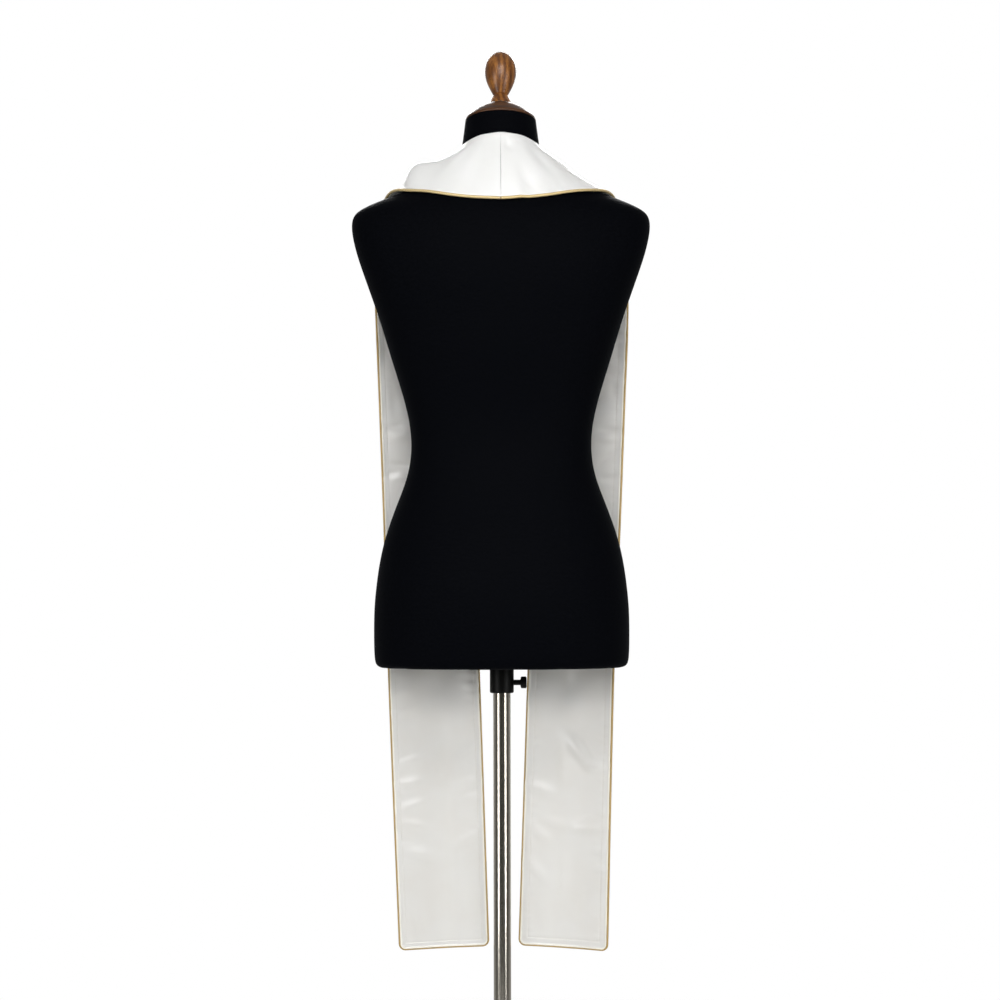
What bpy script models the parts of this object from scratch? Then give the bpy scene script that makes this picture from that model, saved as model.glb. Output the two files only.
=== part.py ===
"""Clergy stole resting on a limbless dress form, which stands on a pole of adjustable height.

The sizes and tables below are millimetres, and the meshes are metres. Z is up, the form faces +Y
and the origin is on the floor under the middle of the base.
"""

import math
from typing import NamedTuple

import bmesh
import bpy
from mathutils import Vector
from mathutils.bvhtree import BVHTree

MM = 0.001
GAP = 0.3  # between pieces that touch

# Stand
BASE_RADIUS = 170.0
BASE_THICKNESS = 7.0
BASE_EDGE = 2.0
HUB_RADIUS = 27.0
HUB_NECK_RADIUS = 16.0
HUB_HEIGHT = 34.0
HUB_EDGE = 2.0  # chamfers at its top and its foot
POLE_RADIUS = 11.5
POLE_PLAY = 0.45
POLE_IN_FORM = 300.0

# Dress form
FORM_BOTTOM = 808.0
FORM_POINTS_ROUND = 40
FORM_RING_STEP = 38.0
MOUND_FADE = 2.0  # how fast the mounds grow, from nothing at the torso's sides
BORE_RADIUS = 13.0
BORE_DEPTH = 430.0
NECK_TOP = 1531.0
NECK_TOP_MIDDLE = 12.0
NECK_TOP_TILT = 10.0
CAP_RADIUS = 47.0
CAP_LIP = 3.0
CAP_RISE = 23.0
FINIAL_FOOT_RADIUS = 17.2
FINIAL_FOOT_EDGE = 1.5
FINIAL_FLARE = 1.1  # more keeps the foot slim for longer
FINIAL_WAIST_RADIUS = 9.5
FINIAL_WAIST_HEIGHT = 38.0
FINIAL_EGG_RADIUS = 21.0
FINIAL_EGG_HEIGHT = 71.5
FINIAL_TOP_HEIGHT = 98.5

# Collar and thumb screw under the torso
COLLAR_RADIUS = 15.8
COLLAR_HEIGHT = 33.5
COLLAR_CHAMFER = 2.0
SCREW_DROP = 20.0  # its axis below the torso
SCREW_STEM_RADIUS = 3.6
SCREW_STEM_END = 24.8
SCREW_KNOB_RADIUS = 7.8
SCREW_KNOB_LENGTH = 8.0
SCREW_KNOB_EDGE = 0.8
SCREW_KNOB_RIBS = 16
SCREW_KNOB_RIB_DEPTH = 0.7

# Stole
STRIP_WALL = 1.2
LINING_WALL = 1.0
PIPING_RADIUS = 2.2
PIPING_START = 0.9  # its run at the centre back, so that the slanting ends stay apart
CLOTH_CLEARANCE = 2.9  # from the torso to the face between strip and lining
CLOTH_EASES = (1.5, 0.5, 0.2)  # how softly each pass lifts cloth off the torso
CLOTH_REACH = 25.0  # past this distance the torso doesn't touch the cloth
END_CORNER = 5.5
EDGE_START = 0.8  # where the edge of a strip begins, from its middle at 0 to its edge at 1
CELLS_ACROSS = 6
CORNER_ROWS = (0.3, 0.0)  # rows round the end's corners, as parts of their radius
NORMAL_STEP = 2.0  # between the places that give a direction square to the cloth


class TorsoRing(NamedTuple):
    """One level of the torso."""

    height: float  # of its widest line
    half_width: float
    middle: float  # depth of the widest line
    front: float
    back: float
    tilt: float  # degrees that the front dips
    squareness: float  # 2 is an ellipse, more is boxier


class Mound(NamedTuple):
    """A soft rise or hollow, the same on both sides of the torso."""

    offset: float
    height: float
    spread_across: float
    spread_up: float
    push: float  # towards the front where positive
    on_front: bool


class Section(NamedTuple):
    """One section across a finished half with its piping, mirrored to +X from either side."""

    run: float  # along the strip's middle from the centre back seam
    inner_x: float
    inner_y: float
    inner_z: float
    outer_x: float
    outer_y: float
    outer_z: float
    bow: float  # how far the middle stands off the straight line
    skew: float  # moves the bow's crest to the inner edge where positive


TORSO_RINGS = [
    TorsoRing(FORM_BOTTOM, 159.0, 0.0, 96.0, -99.0, 0.0, 2.3),
    TorsoRing(810.5, 165.5, 0.0, 102.0, -105.0, 0.0, 2.3),
    TorsoRing(818.0, 168.5, 0.0, 105.0, -108.5, 0.0, 2.3),
    TorsoRing(850.0, 169.0, 0.0, 106.5, -110.0, 0.0, 2.3),
    TorsoRing(895.0, 168.0, 0.0, 108.0, -110.0, 0.0, 2.3),
    TorsoRing(930.0, 164.0, 0.0, 108.0, -107.0, 0.0, 2.3),
    TorsoRing(975.0, 155.0, 0.0, 107.0, -97.0, 0.0, 2.3),
    TorsoRing(1020.0, 139.5, 2.0, 105.0, -83.0, 0.0, 2.3),
    TorsoRing(1060.0, 124.5, 4.0, 101.0, -71.0, 0.0, 2.25),
    TorsoRing(1100.0, 119.0, 5.0, 99.0, -66.0, 0.0, 2.2),
    TorsoRing(1140.0, 123.5, 5.0, 99.0, -68.0, 0.0, 2.2),
    TorsoRing(1180.0, 134.5, 4.0, 101.0, -75.0, 0.0, 2.25),
    TorsoRing(1225.0, 148.5, 2.0, 105.0, -84.0, 0.0, 2.3),
    TorsoRing(1265.0, 160.5, 0.0, 108.0, -89.0, 0.0, 2.35),
    TorsoRing(1310.0, 176.0, -4.0, 100.0, -93.0, 0.0, 2.45),
    TorsoRing(1345.0, 188.5, -6.0, 89.0, -93.0, 0.0, 2.55),
    TorsoRing(1385.0, 198.0, -6.0, 73.0, -88.0, 0.0, 2.5),
    TorsoRing(1403.0, 197.0, -5.0, 65.0, -83.0, 0.0, 2.4),
    TorsoRing(1412.0, 185.0, -4.0, 61.0, -79.0, 0.0, 2.3),
    TorsoRing(1420.0, 168.0, -3.0, 58.0, -76.0, 0.0, 2.2),
    TorsoRing(1430.0, 142.0, -2.0, 56.0, -71.0, 0.0, 2.15),
    TorsoRing(1443.0, 112.0, 1.0, 56.0, -64.0, 1.0, 2.1),
    TorsoRing(1456.0, 82.0, 3.0, 57.0, -57.0, 3.0, 2.1),
    TorsoRing(1470.0, 60.0, 6.0, 57.0, -51.0, 5.0, 2.1),
    TorsoRing(1487.0, 53.0, 7.0, 58.0, -46.0, 6.5, 2.05),
    TorsoRing(1505.0, 50.5, 9.0, 58.0, -42.0, 7.5, 2.0),
    TorsoRing(NECK_TOP, 47.2, NECK_TOP_MIDDLE, 58.0, -34.0, NECK_TOP_TILT, 2.0),
]

TORSO_MOUNDS = [
    Mound(88.0, 1265.0, 44.0, 52.0, 33.0, True),  # bust
    Mound(80.0, 1340.0, 42.0, 46.0, -6.0, False),  # shoulder blades
    Mound(62.0, 885.0, 44.0, 56.0, -8.0, False),  # seat
    Mound(0.0, 1180.0, 16.0, 110.0, 2.5, False),  # hollow along the spine
]

# From the centre back seam over the shoulder to the chest: the edges are the same on both sides
SHOULDER_SECTIONS = [
    Section(0.0, 0.15, -44.5, 1508.0, 0.15, -85.0, 1414.0, 2.0, 0.0),
    Section(26.0, 14.0, -43.0, 1506.6, 37.0, -81.0, 1416.0, 2.5, 0.0),
    Section(47.5, 27.0, -37.5, 1504.6, 65.0, -76.5, 1419.4, 3.0, 0.0),
    Section(78.0, 45.0, -20.0, 1497.0, 97.0, -64.5, 1425.8, 5.0, 0.1),
    Section(110.0, 54.0, 8.0, 1488.5, 124.0, -46.0, 1429.8, 8.0, 0.2),
    Section(137.0, 55.0, 34.0, 1477.0, 141.0, -21.0, 1431.5, 6.0, 1.6),
    Section(173.0, 52.5, 57.0, 1450.0, 154.0, 16.0, 1425.0, 5.0, 0.8),
    Section(223.0, 49.0, 77.0, 1404.0, 166.0, 56.0, 1398.0, 6.0, 0.0),
    Section(274.0, 48.0, 99.0, 1356.0, 173.0, 82.0, 1358.0, 6.0, 0.2),
]

# How much further the left half bulges over its shoulder: run, extra bow and extra skew
LEFT_BULGE = [
    (0.0, 0.0, 0.0),
    (78.0, 0.0, 0.0),
    (110.0, 6.0, -1.5),
    (137.0, 11.0, -2.6),
    (173.0, 13.0, -1.6),
    (223.0, 8.0, -0.3),
    (274.0, 1.0, 0.0),
]

# From the chest to the end, where the two halves hang a little differently
HANGING_SECTIONS = {
    "right": [
        Section(371.0, 52.0, 131.0, 1264.0, 174.5, 110.0, 1264.0, 8.0, 0.5),
        Section(458.0, 48.0, 138.0, 1178.0, 171.0, 115.0, 1177.0, 7.0, 0.3),
        Section(636.0, 42.5, 143.0, 1000.0, 163.7, 113.0, 998.0, 8.0, 0.0),
        Section(835.0, 35.0, 147.0, 802.0, 154.5, 111.0, 799.0, 8.0, 0.0),
        Section(1217.0, 21.3, 142.0, 421.0, 144.8, 116.0, 416.0, 5.0, 0.0),
    ],
    "left": [
        Section(371.0, 50.0, 131.0, 1264.0, 172.0, 112.0, 1264.0, 8.0, 0.5),
        Section(458.0, 45.0, 136.0, 1178.0, 169.0, 122.0, 1177.0, 6.0, 0.3),
        Section(636.0, 37.0, 138.0, 1000.0, 162.7, 126.0, 998.0, 5.0, 0.0),
        Section(835.0, 29.5, 137.0, 802.0, 157.0, 130.0, 799.0, 3.0, 0.0),
        Section(1217.0, 17.0, 134.0, 421.0, 142.0, 127.0, 416.0, 4.0, 0.0),
    ],
}

# Longest step between stations along the strip, up to each run
STATION_STEPS = [(125.0, 10.5), (280.0, 14.5), (430.0, 17.0), (2000.0, 46.0)]


def smooth_column(keys, values, key):
    """Read a column of a table between its rows, along a smooth curve through them."""
    last = len(keys) - 1
    row = 0
    while row < last - 1 and key > keys[row + 1]:
        row += 1
    slopes = []
    for index in (row, row + 1):
        before = max(index - 1, 0)
        after = min(index + 1, last)
        slopes.append((values[after] - values[before]) / (keys[after] - keys[before]))
    step = keys[row + 1] - keys[row]
    part = (key - keys[row]) / step
    if part < 0.0:
        return values[row] + slopes[0] * part * step
    if part > 1.0:
        return values[row + 1] + slopes[1] * (part - 1.0) * step
    rise = values[row + 1] - values[row]
    bend_start = slopes[0] * step - rise
    bend_end = rise - slopes[1] * step
    return values[row] + rise * part + part * (1 - part) * (bend_start * (1 - part) + bend_end * part)


def steps_between(start, end, longest):
    """Positions after start up to end, evenly spaced and no further apart than longest."""
    count = max(1, math.ceil((end - start) / longest - 1e-6))
    return [start + (end - start) * index / count for index in range(1, count + 1)]


def material(name, colour, roughness, metallic=0.0):
    """Material with one colour, given as linear red, green and blue."""
    made = bpy.data.materials.new(name)
    made.use_nodes = True
    shader = made.node_tree.nodes["Principled BSDF"]
    shader.inputs["Base Color"].default_value = (*colour, 1.0)
    shader.inputs["Roughness"].default_value = roughness
    shader.inputs["Metallic"].default_value = metallic
    return made


def add_object(name, data, collection, finish):
    """Put a mesh or curve in the scene under its node's name."""
    made = bpy.data.objects.new(name, data)
    collection.objects.link(made)
    data.materials.append(finish)
    return made


def finish_mesh(shape, name, sharp_degrees=40.0):
    """Turn a bmesh into a smooth-shaded mesh."""
    mesh = bpy.data.meshes.new(name)
    shape.to_mesh(mesh)
    shape.free()
    mesh.shade_smooth()
    mesh.set_sharp_from_angle(angle=math.radians(sharp_degrees))
    return mesh


def turned(name, profile, collection, finish, steps, closed=False):
    """Turn a profile of (radius, height) pairs, listed from the top down its outer side."""
    shape = bmesh.new()
    corners = [shape.verts.new((radius * MM, 0.0, height * MM)) for radius, height in profile]
    for upper, lower in zip(corners, corners[1:]):
        shape.edges.new((upper, lower))
    if closed:
        shape.edges.new((corners[-1], corners[0]))
    made = add_object(name, finish_mesh(shape, name), collection, finish)
    screw = made.modifiers.new("turn", "SCREW")
    screw.axis = "Z"
    screw.steps = steps
    screw.render_steps = steps
    screw.use_merge_vertices = True
    screw.merge_threshold = 0.00001
    screw.use_smooth_shade = True
    return made


def cylinder(name, radius, length, middle, axis, collection, finish, sides):
    """Solid cylinder along X or Z."""
    turn = (0.0, math.radians(90.0), 0.0) if axis == "X" else (0.0, 0.0, 0.0)
    bpy.ops.mesh.primitive_cylinder_add(
        vertices=sides,
        radius=radius * MM,
        depth=length * MM,
        location=[place * MM for place in middle],
        rotation=turn,
    )
    made = bpy.context.object
    made.name = name
    made.data.name = name
    made.data.materials.append(finish)
    made.data.shade_smooth()
    made.data.set_sharp_from_angle(angle=math.radians(40.0))
    for owner in list(made.users_collection):
        owner.objects.unlink(made)
    collection.objects.link(made)
    return made


def cut(target, cutter):
    """Take the cutter's volume out of the target."""
    cutter.hide_render = True
    cutter.display_type = "WIRE"
    hole = target.modifiers.new("cut " + cutter.name, "BOOLEAN")
    hole.operation = "DIFFERENCE"
    hole.solver = "EXACT"
    hole.object = cutter


def mound_push(x, z, on_front):
    """Depth that the mounds add at a point of the torso's front or back."""
    total = 0.0
    for mound in TORSO_MOUNDS:
        if mound.on_front == on_front:
            across = (abs(x) - mound.offset) / mound.spread_across
            up = (z - mound.height) / mound.spread_up
            total += mound.push * math.exp(-(across * across + up * up) / 2)
    return total


def torso_ring(ring, count):
    """Points round one level of the torso, from +X towards the front."""
    points = []
    for index in range(count):
        angle = 2 * math.pi * index / count
        east = math.cos(angle)
        north = math.sin(angle)
        power = 2 / ring.squareness
        x = ring.half_width * math.copysign(abs(east) ** power, east)
        reach = ring.front - ring.middle if north > 0 else ring.middle - ring.back
        y = ring.middle + reach * math.copysign(abs(north) ** power, north)
        z = ring.height - (y - ring.middle) * math.tan(math.radians(ring.tilt))
        y += mound_push(x, z, north > 0) * min(1.0, abs(north) * MOUND_FADE)
        points.append((x, y, z))
    return points


def torso_rings():
    """Rows of the torso's table, with more read between rows that lie far apart."""
    keys = [0.0]
    for lower, upper in zip(TORSO_RINGS, TORSO_RINGS[1:]):
        keys.append(keys[-1] + math.hypot(upper.height - lower.height, upper.half_width - lower.half_width))
    columns = list(zip(*TORSO_RINGS))
    rings = [TORSO_RINGS[0]]
    for start, end in zip(keys, keys[1:]):
        for key in steps_between(start, end, FORM_RING_STEP):
            rings.append(TorsoRing(*(smooth_column(keys, column, key) for column in columns)))
    return rings


def build_torso(collection, cutters, finish):
    """Torso and neck in one lofted body, bored from below for the pole."""
    shape = bmesh.new()
    loops = []
    for ring in torso_rings():
        points = torso_ring(ring, FORM_POINTS_ROUND)
        loops.append([shape.verts.new(Vector(point) * MM) for point in points])
    for lower, upper in zip(loops, loops[1:]):
        for index in range(FORM_POINTS_ROUND):
            after = (index + 1) % FORM_POINTS_ROUND
            shape.faces.new((lower[index], lower[after], upper[after], upper[index]))
    shape.faces.new(reversed(loops[0]))
    shape.faces.new(loops[-1])
    shape.normal_update()
    form_surface = BVHTree.FromBMesh(shape)
    torso = add_object("form_torso", finish_mesh(shape, "form_torso"), collection, finish)
    middle = (0.0, 0.0, FORM_BOTTOM + BORE_DEPTH / 2 - GAP)
    bore = cylinder("pole_bore", BORE_RADIUS, BORE_DEPTH, middle, "Z", cutters, finish, 24)
    cut(torso, bore)
    return form_surface


def arc(centre, radius, start, end, count):
    """Points of an arc as (radius, height) pairs, between two angles in degrees from +X."""
    points = []
    for index in range(count + 1):
        angle = math.radians(start + (end - start) * index / count)
        points.append((centre[0] + radius * math.cos(angle), centre[1] + radius * math.sin(angle)))
    return points


def set_on_neck(piece):
    """Place a turned piece on the tilted top of the neck."""
    piece.location = (0.0, NECK_TOP_MIDDLE * MM, NECK_TOP * MM)
    piece.rotation_euler = (-math.radians(NECK_TOP_TILT), 0.0, 0.0)


def build_neck_cap(collection, finish):
    """Domed cap with a short upright lip."""
    dome_radius = (CAP_RADIUS**2 + CAP_RISE**2) / (2 * CAP_RISE)
    dome_middle = (0.0, CAP_LIP + CAP_RISE - dome_radius)
    flat_angle = math.degrees(math.acos(FINIAL_WAIST_RADIUS / dome_radius))
    rim_angle = math.degrees(math.asin((dome_radius - CAP_RISE) / dome_radius))
    dome = arc(dome_middle, dome_radius, flat_angle, rim_angle, 9)
    profile = [(0.0, dome[0][1]), *dome, (CAP_RADIUS, GAP), (0.0, GAP)]
    set_on_neck(turned("neck_cap", profile, collection, finish, 36))
    return dome[0][1], dome_radius


def build_finial(collection, finish, seat, dome_radius):
    """Egg-shaped knob on a flared foot, standing on the cap."""
    dome_middle_height = CAP_LIP + CAP_RISE - dome_radius
    foot_height = math.sqrt(dome_radius**2 - FINIAL_FOOT_RADIUS**2) + dome_middle_height
    profile = [(0.0, FINIAL_TOP_HEIGHT)]
    top_rise = FINIAL_TOP_HEIGHT - FINIAL_EGG_HEIGHT
    for degrees in (72, 54, 36, 18, 0):
        angle = math.radians(degrees)
        profile.append(
            (FINIAL_EGG_RADIUS * math.cos(angle), FINIAL_EGG_HEIGHT + top_rise * math.sin(angle))
        )
    drop = FINIAL_EGG_HEIGHT - FINIAL_WAIST_HEIGHT
    slack = FINIAL_EGG_RADIUS - FINIAL_WAIST_RADIUS
    for part in (0.2, 0.4, 0.6, 0.8, 1.0):
        narrowing = 1 - math.cos(math.pi / 2 * part)
        profile.append((FINIAL_EGG_RADIUS - slack * narrowing, FINIAL_EGG_HEIGHT - drop * part))
    flare_drop = FINIAL_WAIST_HEIGHT - foot_height - FINIAL_FOOT_EDGE
    for part in (0.35, 0.7, 1.0):
        flare = (FINIAL_FOOT_RADIUS - FINIAL_WAIST_RADIUS) * part**FINIAL_FLARE
        profile.append((FINIAL_WAIST_RADIUS + flare, FINIAL_WAIST_HEIGHT - flare_drop * part))
    profile.append((FINIAL_FOOT_RADIUS, foot_height + 2 * GAP))
    profile.append((FINIAL_WAIST_RADIUS, seat + 2 * GAP))
    profile.append((0.0, seat + 2 * GAP))
    set_on_neck(turned("finial", profile, collection, finish, 28))


def build_stand(collection, finish):
    """Round base plate, hub and pole."""
    top = BASE_THICKNESS
    plate = [
        (0.0, top),
        (BASE_RADIUS - BASE_EDGE, top),
        (BASE_RADIUS, top - BASE_EDGE),
        (BASE_RADIUS, 0.0),
        (0.0, 0.0),
    ]
    turned("base_plate", plate, collection, finish, 48)
    bottom = top + GAP
    bore = POLE_RADIUS + POLE_PLAY
    hub = [
        (bore, HUB_HEIGHT),
        (HUB_NECK_RADIUS, HUB_HEIGHT),
        (HUB_NECK_RADIUS + HUB_EDGE, HUB_HEIGHT - HUB_EDGE),
        (HUB_NECK_RADIUS + HUB_EDGE, (HUB_HEIGHT + bottom) / 2),
        (HUB_RADIUS - HUB_EDGE, bottom + 2 * HUB_EDGE),
        (HUB_RADIUS, bottom + HUB_EDGE),
        (HUB_RADIUS, bottom),
        (bore, bottom),
    ]
    turned("base_hub", hub, collection, finish, 32, closed=True)
    pole_top = FORM_BOTTOM + POLE_IN_FORM
    length = pole_top - bottom
    cylinder("pole", POLE_RADIUS, length, (0.0, 0.0, bottom + length / 2), "Z", collection, finish, 24)


def build_collar(collection, cutters, finish):
    """Clamp collar under the torso, with a cross hole for the screw."""
    top = FORM_BOTTOM - GAP
    bottom = top - COLLAR_HEIGHT
    bore = POLE_RADIUS + POLE_PLAY
    profile = [
        (bore, top),
        (COLLAR_RADIUS, top),
        (COLLAR_RADIUS, bottom + COLLAR_CHAMFER),
        (COLLAR_RADIUS - COLLAR_CHAMFER, bottom),
        (bore, bottom),
    ]
    collar = turned("pole_collar", profile, collection, finish, 32, closed=True)
    radius = SCREW_STEM_RADIUS + GAP
    middle = (COLLAR_RADIUS, 0.0, FORM_BOTTOM - SCREW_DROP)
    length = 4 * (COLLAR_RADIUS - POLE_RADIUS)
    hole = cylinder("screw_hole", radius, length, middle, "X", cutters, finish, 16)
    cut(collar, hole)


def build_clamp_screw(collection, finish):
    """Thumb screw with a ribbed knob, turned about its own axis."""
    tip = POLE_RADIUS + POLE_PLAY
    shape = bmesh.new()
    sides = 2 * SCREW_KNOB_RIBS
    knob_end = SCREW_STEM_END + SCREW_KNOB_LENGTH
    stations = [
        (tip, SCREW_STEM_RADIUS, 0.0),
        (SCREW_STEM_END, SCREW_STEM_RADIUS, 0.0),
        (SCREW_STEM_END, SCREW_KNOB_RADIUS - SCREW_KNOB_EDGE, SCREW_KNOB_RIB_DEPTH),
        (SCREW_STEM_END + SCREW_KNOB_EDGE, SCREW_KNOB_RADIUS, SCREW_KNOB_RIB_DEPTH),
        (knob_end - SCREW_KNOB_EDGE, SCREW_KNOB_RADIUS, SCREW_KNOB_RIB_DEPTH),
        (knob_end, SCREW_KNOB_RADIUS - SCREW_KNOB_EDGE, SCREW_KNOB_RIB_DEPTH),
    ]
    loops = []
    for x, radius, rib_depth in stations:
        loop = []
        for index in range(sides):
            angle = 2 * math.pi * index / sides
            reach = radius - rib_depth * (index % 2)
            point = Vector((x - tip, reach * math.cos(angle), reach * math.sin(angle)))
            loop.append(shape.verts.new(point * MM))
        loops.append(loop)
    for near, far in zip(loops, loops[1:]):
        for index in range(sides):
            after = (index + 1) % sides
            shape.faces.new((near[index], near[after], far[after], far[index]))
    shape.faces.new(reversed(loops[0]))
    shape.faces.new(loops[-1])
    screw = add_object("clamp_screw", finish_mesh(shape, "clamp_screw", 30.0), collection, finish)
    screw.location = (tip * MM, 0.0, (FORM_BOTTOM - SCREW_DROP) * MM)


class StoleHalf:
    """The face between strip and lining of one half, read at any place along and across it."""

    def __init__(self, side, form_surface):
        """Join the shoulder and hanging sections of one side."""
        self.side = side
        self.form_surface = form_surface
        self.sections = SHOULDER_SECTIONS + HANGING_SECTIONS[side]
        self.columns = list(zip(*self.sections))
        self.length = self.sections[-1].run - 2 * PIPING_RADIUS - GAP

    def section(self, run):
        """Section of the cloth inside its piping at a run, with the left half's larger bulge."""
        runs = self.columns[0]
        read = Section(*(smooth_column(runs, column, run) for column in self.columns))
        if self.side == "left" and run < LEFT_BULGE[-1][0]:
            keys, bows, skews = zip(*LEFT_BULGE)
            bow = read.bow + smooth_column(keys, bows, run)
            skew = read.skew + smooth_column(keys, skews, run)
            read = read._replace(bow=bow, skew=skew)
        inner = Vector(read[1:4])
        outer = Vector(read[4:7])
        trim = (outer - inner).normalized() * (2 * PIPING_RADIUS + GAP)
        return Section(run, *(inner + trim), *(outer - trim), read.bow, read.skew)

    def width(self, run):
        """Straight width of the strip at a run."""
        here = self.section(run)
        return (Vector(here[4:7]) - Vector(here[1:4])).length

    def free_point(self, run, across):
        """Place before the torso is minded: across is 0 at the inner edge and 1 at the outer."""
        here = self.section(run)
        ahead = self.section(run + 1.0)
        inner = Vector(here[1:4])
        outer = Vector(here[4:7])
        chord = outer - inner
        along = Vector(ahead[1:4]) - inner + Vector(ahead[4:7]) - outer
        off = chord.cross(along).normalized()
        crest = here.bow * 4 * across * (1 - across) * (1 + here.skew * (1 - 2 * across))
        return inner + chord * across + off * crest

    def clearance(self, run, across):
        """Clearance to the torso, larger at an edge that dips, so that its piping clears it too."""
        here = self.section(run)
        lean = 1 + here.skew if across < 0.5 else 1 - here.skew
        slope = max(0.0, 4 * here.bow * lean / self.width(run))
        dip = slope / math.hypot(1.0, slope)
        nearness = max(0.0, (abs(2 * across - 1) - EDGE_START) / (1 - EDGE_START))
        return CLOTH_CLEARANCE + (PIPING_RADIUS + GAP) * dip * nearness

    def draped_point(self, run, across):
        """Place on the draped face between its edges, lifted clear of the torso."""
        place = self.free_point(run, across)
        clearance = self.clearance(run, across)
        for ease in CLOTH_EASES:
            near, normal, _, distance = self.form_surface.find_nearest(place * MM)
            if distance > CLOTH_REACH * MM:
                break
            depth = (place - near / MM).dot(normal)
            place = place + normal * ease * math.log1p(math.exp((clearance - depth) / ease))
        return place

    def point(self, run, across):
        """Place on the draped face, which goes straight on past its edges."""
        inside = min(max(across, 0.0), 1.0)
        place = self.draped_point(run, inside)
        if across != inside:
            step = math.copysign(1 / CELLS_ACROSS, across - inside)
            slope = (place - self.draped_point(run, inside - step)) / step
            place = place + slope * (across - inside)
        return place

    def normal(self, run, across):
        """Direction away from the torso, square to the draped face."""
        sideways = NORMAL_STEP / self.width(run)
        before = max(run - NORMAL_STEP, 0.0)
        along = self.point(run + NORMAL_STEP, across) - self.point(before, across)
        outward = self.point(run, across + sideways) - self.point(run, across - sideways)
        square = outward.cross(along).normalized()
        if run == 0.0:
            square.x = 0.0
        return square.normalized()

    def stations(self):
        """Runs at which the strip has a section, closest together round the neck."""
        runs = [0.0]
        last_straight = self.length - END_CORNER
        for limit, longest in STATION_STEPS:
            stop = min(limit, last_straight)
            if stop > runs[-1]:
                runs += steps_between(runs[-1], stop, longest)
        return runs

    def to_model(self, point):
        """Metres, on the side that this half hangs on."""
        placed = Vector(point) * MM
        if self.side == "left":
            placed.x = -placed.x
        return placed

    def corner_inset(self, run):
        """How far the rounded corners pull the edges in near the end."""
        into = run - (self.length - END_CORNER)
        if into <= 0.0:
            return 0.0
        return END_CORNER - math.sqrt(max(END_CORNER**2 - into**2, 0.0))

    def sheet(self, offset):
        """Open grid of faces, moved off the middle face by offset."""
        shape = bmesh.new()
        runs = self.stations() + [self.length - END_CORNER * part for part in CORNER_ROWS]
        rows = []
        for run in runs:
            inset = self.corner_inset(run) / self.width(run)
            row = []
            for cell in range(CELLS_ACROSS + 1):
                across = inset + (1 - 2 * inset) * cell / CELLS_ACROSS
                place = self.point(run, across) + self.normal(run, across) * offset
                row.append(shape.verts.new(self.to_model(place)))
            rows.append(row)
        for near, far in zip(rows, rows[1:]):
            for cell in range(CELLS_ACROSS):
                corners = [near[cell], near[cell + 1], far[cell + 1], far[cell]]
                if self.side == "left":
                    corners.reverse()
                shape.faces.new(corners)
        return shape

    def edge_route(self):
        """Middle line of the piping, from the seam down the outer edge and up the inner edge."""
        reach = PIPING_RADIUS + GAP
        runs = [PIPING_START] + self.stations()[1:]
        route = [(run, self.width(run) + reach) for run in runs]
        end_width = self.width(self.length)
        corner = END_CORNER + reach
        last = runs[-1]
        for degrees in (30, 60, 90):
            angle = math.radians(degrees)
            away = end_width - END_CORNER + corner * math.cos(angle)
            route.append((last + corner * math.sin(angle), away))
        route.append((last + corner, end_width / 2))
        for degrees in (90, 60, 30):
            angle = math.radians(degrees)
            route.append((last + corner * math.sin(angle), END_CORNER - corner * math.cos(angle)))
        route += [(run, -reach) for run in reversed(runs)]
        return [self.to_model(self.point(run, away / self.width(run))) for run, away in route]


def build_wall(name, half, offset, wall, outward, collection, finish):
    """One cloth layer: a sheet made solid to one side."""
    made = add_object(name, finish_mesh(half.sheet(offset), name), collection, finish)
    solid = made.modifiers.new("wall", "SOLIDIFY")
    solid.thickness = wall * MM
    solid.offset = 1.0 if outward else -1.0
    solid.use_rim = True
    return made


def build_piping(name, half, collection, finish):
    """Cord round the free edges of one half."""
    data = bpy.data.curves.new(name, "CURVE")
    data.dimensions = "3D"
    data.bevel_depth = PIPING_RADIUS * MM
    data.bevel_resolution = 1
    data.use_fill_caps = True
    places = half.edge_route()
    spline = data.splines.new("POLY")
    spline.points.add(len(places) - 1)
    for point, place in zip(spline.points, places):
        point.co = (*place, 1.0)
    add_object(name, data, collection, finish)


def build_stole(collection, form_surface, satin, lining, cord):
    """Both halves of the stole: strip, lining and piping."""
    for side in ("left", "right"):
        half = StoleHalf(side, form_surface)
        build_wall("stole_strip_" + side, half, 0.0, STRIP_WALL, True, collection, satin)
        build_wall("stole_lining_" + side, half, -GAP, LINING_WALL, False, collection, lining)
        build_piping("piping_" + side, half, collection, cord)


def main():
    """Clear the scene and build every piece."""
    for old in list(bpy.data.objects):
        bpy.data.objects.remove(old)
    collection = bpy.data.collections.new("stole_on_dress_form")
    cutters = bpy.data.collections.new("cutters")
    bpy.context.scene.collection.children.link(collection)
    bpy.context.scene.collection.children.link(cutters)

    steel = material("brushed_steel", (0.52, 0.51, 0.49), 0.32, 1.0)
    jersey = material("black_jersey", (0.008, 0.009, 0.011), 0.85)
    wood = material("varnished_wood", (0.48, 0.27, 0.12), 0.45)
    plastic = material("black_plastic", (0.006, 0.006, 0.007), 0.4)
    satin = material("white_satin", (0.88, 0.88, 0.86), 0.4)
    lining = material("ivory_lining", (0.72, 0.68, 0.60), 0.45)
    cord = material("gold_cord", (0.72, 0.52, 0.20), 0.45)

    build_stand(collection, steel)
    form_surface = build_torso(collection, cutters, jersey)
    seat, dome_radius = build_neck_cap(collection, wood)
    build_finial(collection, wood, seat, dome_radius)
    build_collar(collection, cutters, plastic)
    build_clamp_screw(collection, plastic)
    build_stole(collection, form_surface, satin, lining, cord)


main()
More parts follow.
